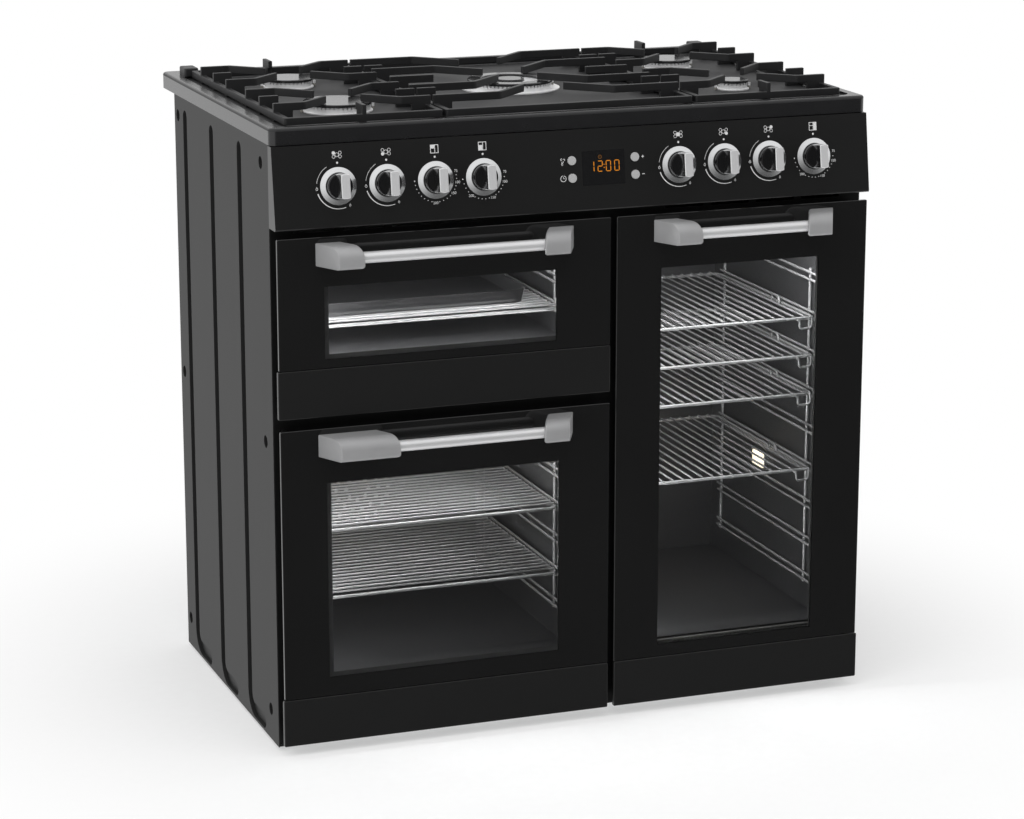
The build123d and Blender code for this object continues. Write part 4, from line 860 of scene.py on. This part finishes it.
bm = bmesh.new()
place = on_panel(35.0, 820.0, 0.05)
segments = {"1": "bc", "2": "abged", "0": "abcdef"}
tall, wide, line, gap, middle = 14.5, 6.8, 1.15, 0.3, 2.3
bottom = middle - tall / 2
ends = {
    "a": ((0, tall), (wide, tall)), "b": ((wide, tall), (wide, tall / 2)),
    "c": ((wide, tall / 2), (wide, 0)), "d": ((wide, 0), (0, 0)),
    "e": ((0, 0), (0, tall / 2)), "f": ((0, tall / 2), (0, tall)),
    "g": ((0, tall / 2), (wide, tall / 2)),
}
for figure, left in (("1", -21.4), ("2", -8.5), ("0", 4.1), ("0", 17.0)):
    for segment in segments[figure]:
        start, stop = (Vector(end) for end in ends[segment])
        along = (stop - start).normalized()
        across = Vector((-along.y, along.x)) * line / 2
        tip = along * line / 2
        start, stop = start + along * gap, stop - along * gap
        shape = (start, start + tip + across, stop - tip + across,
                 stop, stop - tip - across, start + tip - across)
        flat(bm, place, [(left + p.x, bottom + p.y) for p in reversed(shape)])
for rise in (-2.2, 2.2):
    disc(bm, place, (0.9, middle + rise), 1.5)
band(bm, place, (-5.0, 15.4), 2.4, 0, 360, 1.0, 1.0, 1)
solid_box(bm, place, -5.4, -4.6, 14.6, 16.4, 1)
make_piece("clock_figures", bm, clock_inks, "cooker", closed=False)

# Push buttons: moulded in pale grey ABS, sprung in round holes of the fascia. The mould's skin,
# etched at 0.4 mm, gives them a satin with no sharp mirror image.
satin_abs = finished("satin_pale_grey_abs", "#a2a2a2", "#aeaeae", 0.4, (0.30, 0.40), IOR=1.54)
dress(satin_abs, "button_mode", "button_clock", "button_plus", "button_minus")

# Bezels: pressed steel cones round the knobs, polished and chromium-plated to a bright satin,
# whose fine grain of 0.3 mm softens what they mirror.
satin_chrome = finished(
    "satin_chromium_plate", "#d6d7d8", "#e8e9ea", 0.3, (0.14, 0.24), Metallic=1.0,
)
bm = bmesh.new()
for x in knob_columns:
    turned(bm, (
        (26.0, 0.02), (26.25, 0.2), (26.1, 0.5), (19.6, 2.7), (18.9, 2.95), (18.4, 2.95),
        (18.2, 2.7), (18.2, 0.02), (26.0, 0.02),
    ), on_panel(x, knob_row), 72)
bmesh.ops.remove_doubles(bm, verts=bm.verts, dist=1e-6)
bezels = make_piece("bezels", bm, [satin_chrome], "cooker")
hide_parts("knob_bezels")

# Knobs: moulded in gloss black ABS as a disc with a deep grip across it, wiped dull in patches
# of 11 mm. A metallised strip, brushed along the grip in lines under 0.1 mm, covers the grip's
# face and both ends and looks like satin steel.
gloss_abs = finished("gloss_black_abs", "#0e0e0f", "#141415", 11.1, (0.12, 0.22), 3.0, IOR=1.54)

silvered = finished(
    "satin_metallised_abs", "#cfcfd0", "#e4e4e5", (0.08, 1.667, 1.667), 0.4, Metallic=0.5,
)


def grip_outline(half_width, radius):
    """The grip in plan: two straight flanks and two ends on the knob's circle."""
    open_angle = math.acos(half_width / radius)
    half = [
        (radius * math.cos(a), radius * math.sin(a))
        for a in (open_angle + (math.pi - 2 * open_angle) * i / 10 for i in range(11))
    ]
    return half + [(-x, -y) for x, y in half]


knob_bodies = (
    "knob_rear_left", "knob_front_left", "knob_top_oven", "knob_main_oven",
    "knob_wok", "knob_front_right", "knob_rear_right", "knob_tall_oven",
)
disc_profile = (
    (0, 0), (17.6, 0), (17.6, 10.5), (17.2, 11.6), (16.2, 12.0), (14.0, 11.7), (0, 11.5),
)
levels = (  # of the grip: height, half width, radius of its ends
    (11.2, 7.0, 17.55), (33.5, 6.7, 17.3), (35.2, 6.4, 16.9), (36.0, 5.5, 16.0),
)
for x, body in zip(knob_columns, knob_bodies):
    bm = bmesh.new()
    place = on_panel(x, knob_row, 0.3)
    turned(bm, disc_profile, place, 64)
    stack = [
        [bm.verts.new(place @ Vector((px * MM, py * MM, rise * MM)))
         for px, py in grip_outline(half_width, radius)]
        for rise, half_width, radius in levels
    ]
    for low, high in zip(stack, stack[1:]):
        for i in range(22):
            j = (i + 1) % 22
            face = bm.faces.new((low[i], low[j], high[j], high[i]))
            on_flank = i % 11 == 10 and high is not stack[-1]
            face.material_index = 0 if on_flank else 1
    bm.faces.new(stack[-1]).material_index = 1
    made = make_piece(f"{body}_moulding", bm, [gloss_abs, silvered], body)
    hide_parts(body)

# Door glass: one 5 mm toughened sheet over each door, screen-printed black behind except for
# the window, its ground edge bevelled; a second clear pane closes the door towards the oven.
# The print behind the glass mirrors deep black, with the slow wave of the rollers, 180 mm long.
printed_glass, tree, tone, roller = mottled(
    "black_printed_toughened_glass", "#161616", "#1b1b1b", 180,
)
wave = add_node(tree, "ShaderNodeBump", {
    "Height": roller, "Strength": 0.15, "Distance": 0.4 * MM,
})
printed = add_node(tree, "ShaderNodeBsdfPrincipled", {
    "Base Color": tone, "Roughness": 0.03, "IOR": 1.52, "Normal": wave.outputs[0],
})
add_node(tree, "ShaderNodeOutputMaterial", {"Surface": printed.outputs[0]})

# The bare glass is faintly tinted, uneven over 120 mm, and lets the light straight through
float_glass, tree, tone, _ = mottled("tinted_toughened_float_glass", "#f3f4f4", "#f8f8f8", 120)
through = add_node(tree, "ShaderNodeBsdfPrincipled", {
    "Base Color": tone, "Roughness": 0.0, "IOR": 1.52, "Transmission Weight": 1.0,
})
straight = add_node(tree, "ShaderNodeBsdfTransparent", {"Color": tone})
shadow = add_node(tree, "ShaderNodeLightPath").outputs["Is Shadow Ray"]
glass = add_node(tree, "ShaderNodeMixShader", {
    0: shadow, 1: through.outputs[0], 2: straight.outputs[0],
})
add_node(tree, "ShaderNodeOutputMaterial", {"Surface": glass.outputs[0]})

# A border of grey ceramic frit, fired on through a screen of 0.6 mm, edges two of the windows
grey_frit = finished("grey_ceramic_frit", "#202020", "#2a2a2a", 0.6, 0.6)


def rounded(left, right, bottom, top, radius):
    """A rounded rectangle as points (x, z), anticlockwise from the right bottom corner."""
    points = []
    for cx, cz, start in (
        (right - radius, bottom + radius, -90), (right - radius, top - radius, 0),
        (left + radius, top - radius, 90), (left + radius, bottom + radius, 180),
    ):
        for i in range(7):
            angle = math.radians(start + 15 * i)
            points.append((cx + radius * math.cos(angle), cz + radius * math.sin(angle)))
    return points


def sheet_of_glass(bm, outer, window, front, back, corner, bevel):
    """A sheet in mm that faces forwards: printed in its border, clear in its window."""
    window_corner = 1.5

    def ring(box, depth, inset, radius):
        left, right, bottom, top = box
        shape = rounded(left + inset, right - inset, bottom + inset, top - inset, radius)
        return [bm.verts.new(Vector((x, depth, z)) * MM) for x, z in shape]

    rims = [
        ring(window, front, 0, window_corner), ring(outer, front, bevel, corner),
        ring(outer, front + bevel, 0, corner), ring(outer, back - bevel, 0, corner),
        ring(outer, back, bevel, corner), ring(window, back, 0, window_corner),
    ]
    count = len(rims[0])
    for one, other in zip(rims, rims[1:]):
        for i in range(count):
            j = (i + 1) % count
            bm.faces.new((one[i], one[j], other[j], other[i])).material_index = 0
    for rim in (rims[0], rims[-1]):
        bm.faces.new(rim).material_index = 1


doors = (  # name, glass and its window as left, right, bottom, top; frit border inside it
    ("top_door", (-448, 44.5, 563.5, 749), (-381.5, -37.5, 576, 679.5), True),
    ("main_door", (-448, 44.5, 84.5, 477.53), (-381.5, -33, 112, 399), True),
    ("tall_door", (54, 448, 84.5, 749), (123, 372, 102.5, 670.5), False),
)
outer_face, outer_back, inner_face, inner_back = -287, -282, -267, -263
overlap, frit_width = 5.9, 7
frit_y = outer_back + 0.05
behind_glass = Matrix(((1, 0, 0, 0), (0, 0, -1, frit_y * MM), (0, 1, 0, 0), (0, 0, 0, 1)))
for door, outer, window, bordered in doors:
    bm = bmesh.new()
    sheet_of_glass(bm, outer, window, outer_face, outer_back, 2.0, 0.6)
    left, right, bottom, top = window
    inner = (left - overlap, right + overlap, bottom - overlap, top + overlap)
    sheet_of_glass(bm, inner, window, inner_face, inner_back, 3.0, 0.4)
    for face in bm.faces:
        if face.calc_center_median().y > (inner_face - 3) * MM:
            face.material_index = 1
    if bordered:
        edge, sill = left + frit_width, bottom + frit_width
        solid_box(bm, behind_glass, left, edge, bottom, top, 2)
        solid_box(bm, behind_glass, edge, right, bottom, sill, 2)
    glass_piece = make_piece(
        f"{door}_glass", bm, [printed_glass, float_glass, grey_frit], door, 20,
    )
    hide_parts(f"{door}_panes")

# Door frames and trims: the inner frame is pressed steel in the black electro-coat of the
# front frame; the strip below the glass is folded sheet in the fascia's powder.
dress(e_coat, "top_door_inner", "main_door_inner", "tall_door_inner")
dress(fascia_coat, "top_door_trim", "main_door_trim", "tall_door_trim")

# Handle bars: drawn stainless tube, brushed along its length in lines 0.1 mm apart, so the
# light lies in a long soft streak.
brushed, tree, tone, lines = mottled(
    "brushed_stainless_tube", "#c8c8c9", "#e4e4e5", (16.667, 0.0909, 0.0909), 3.0,
)
matt = add_node(tree, "ShaderNodeMapRange", {
    "Value": lines, "To Min": 0.30, "To Max": 0.44,
})
scratch = add_node(tree, "ShaderNodeBump", {
    "Height": lines, "Strength": 0.25, "Distance": 0.03 * MM,
})
tube = add_node(tree, "ShaderNodeBsdfPrincipled", {
    "Base Color": tone, "Metallic": 0.5, "Roughness": matt.outputs[0],
    "Normal": scratch.outputs[0],
})
add_node(tree, "ShaderNodeOutputMaterial", {"Surface": tube.outputs[0]})
dress(brushed, "top_door_handle_bar", "main_door_handle_bar", "tall_door_handle_bar")

# Handle ends: die-cast zinc, tumbled until its edges are round, bead-blasted and lacquered in
# silver grey, screwed on through the glass.
satin_zinc, tree, tone, _ = mottled("silver_lacquered_die_cast_zinc", "#8f8f90", "#9f9fa0", 40.0)
beads = add_node(tree, "ShaderNodeTexNoise", {
    "Vector": add_node(tree, "ShaderNodeTexCoord").outputs["Object"], "Scale": 1 / (0.5 * MM),
})
skin = add_node(tree, "ShaderNodeBump", {
    "Height": beads.outputs[0], "Strength": 0.3, "Distance": 0.03 * MM,
})
plate = add_node(tree, "ShaderNodeBsdfPrincipled", {
    "Base Color": tone, "Metallic": 0.2, "Roughness": 0.42, "Normal": skin.outputs[0],
})
add_node(tree, "ShaderNodeOutputMaterial", {"Surface": plate.outputs[0]})


def handle_end(bm, outer, foot, inward, top):
    """One end in mm: a round-shouldered profile, swept along x, that leans inward."""
    reach, height, lean, sole, shoulder = 43.0, 32.0, 21.0, 5.0, 19.0
    profiles = {}
    for inset in (0.0, 0.3, 1.2, 2.4, 4.0):
        ring = [(0.0, top - inset), (0.0, top - height + inset)]
        for level, radius, start in ((top - height, sole, -90), (top, shoulder, 0)):
            radius = max(radius - inset, 0.5)
            inner = inset + radius
            centre = (reach - inset - radius, level + inner if start else level - inner)
            for i in range(9):
                angle = math.radians(start + 11.25 * i)
                ring.append((centre[0] + radius * math.cos(angle),
                             centre[1] + radius * math.sin(angle)))
        profiles[inset] = ring
    stations = [(0.0, 1.2), (0.35, 0.3), (1.2, 0.0), (foot - 4.0, 0.0)]
    stations += [(foot - 2.4, 0.3), (foot - 1.2, 1.2), (foot - 0.3, 2.4), (foot, 4.0)]
    rings = [
        [bm.verts.new(Vector((
            outer + inward * (along + lean * depth / reach), outer_face - depth, rise,
        )) * MM) for depth, rise in profiles[inset]]
        for along, inset in stations
    ]
    count = len(rings[0])
    for one, other in zip(rings, rings[1:]):
        for i in range(count):
            j = (i + 1) % count
            bm.faces.new((one[i], one[j], other[j], other[i]))
    bm.faces.new(rings[0])
    bm.faces.new(rings[-1])


for door, left, right, top, left_foot in (
    ("top_door", -393.0, -12.5, 741.0, 39.0), ("main_door", -393.0, -12.5, 469.53, 88.0),
    ("tall_door", 111.0, 393.0, 741.0, 39.0),
):
    bm = bmesh.new()
    handle_end(bm, left, left_foot, 1, top)
    handle_end(bm, right, 39.0, -1, top)
    ends = make_piece(f"{door}_handle_castings", bm, [satin_zinc], door, 40)
    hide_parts(f"{door}_handle_ends")
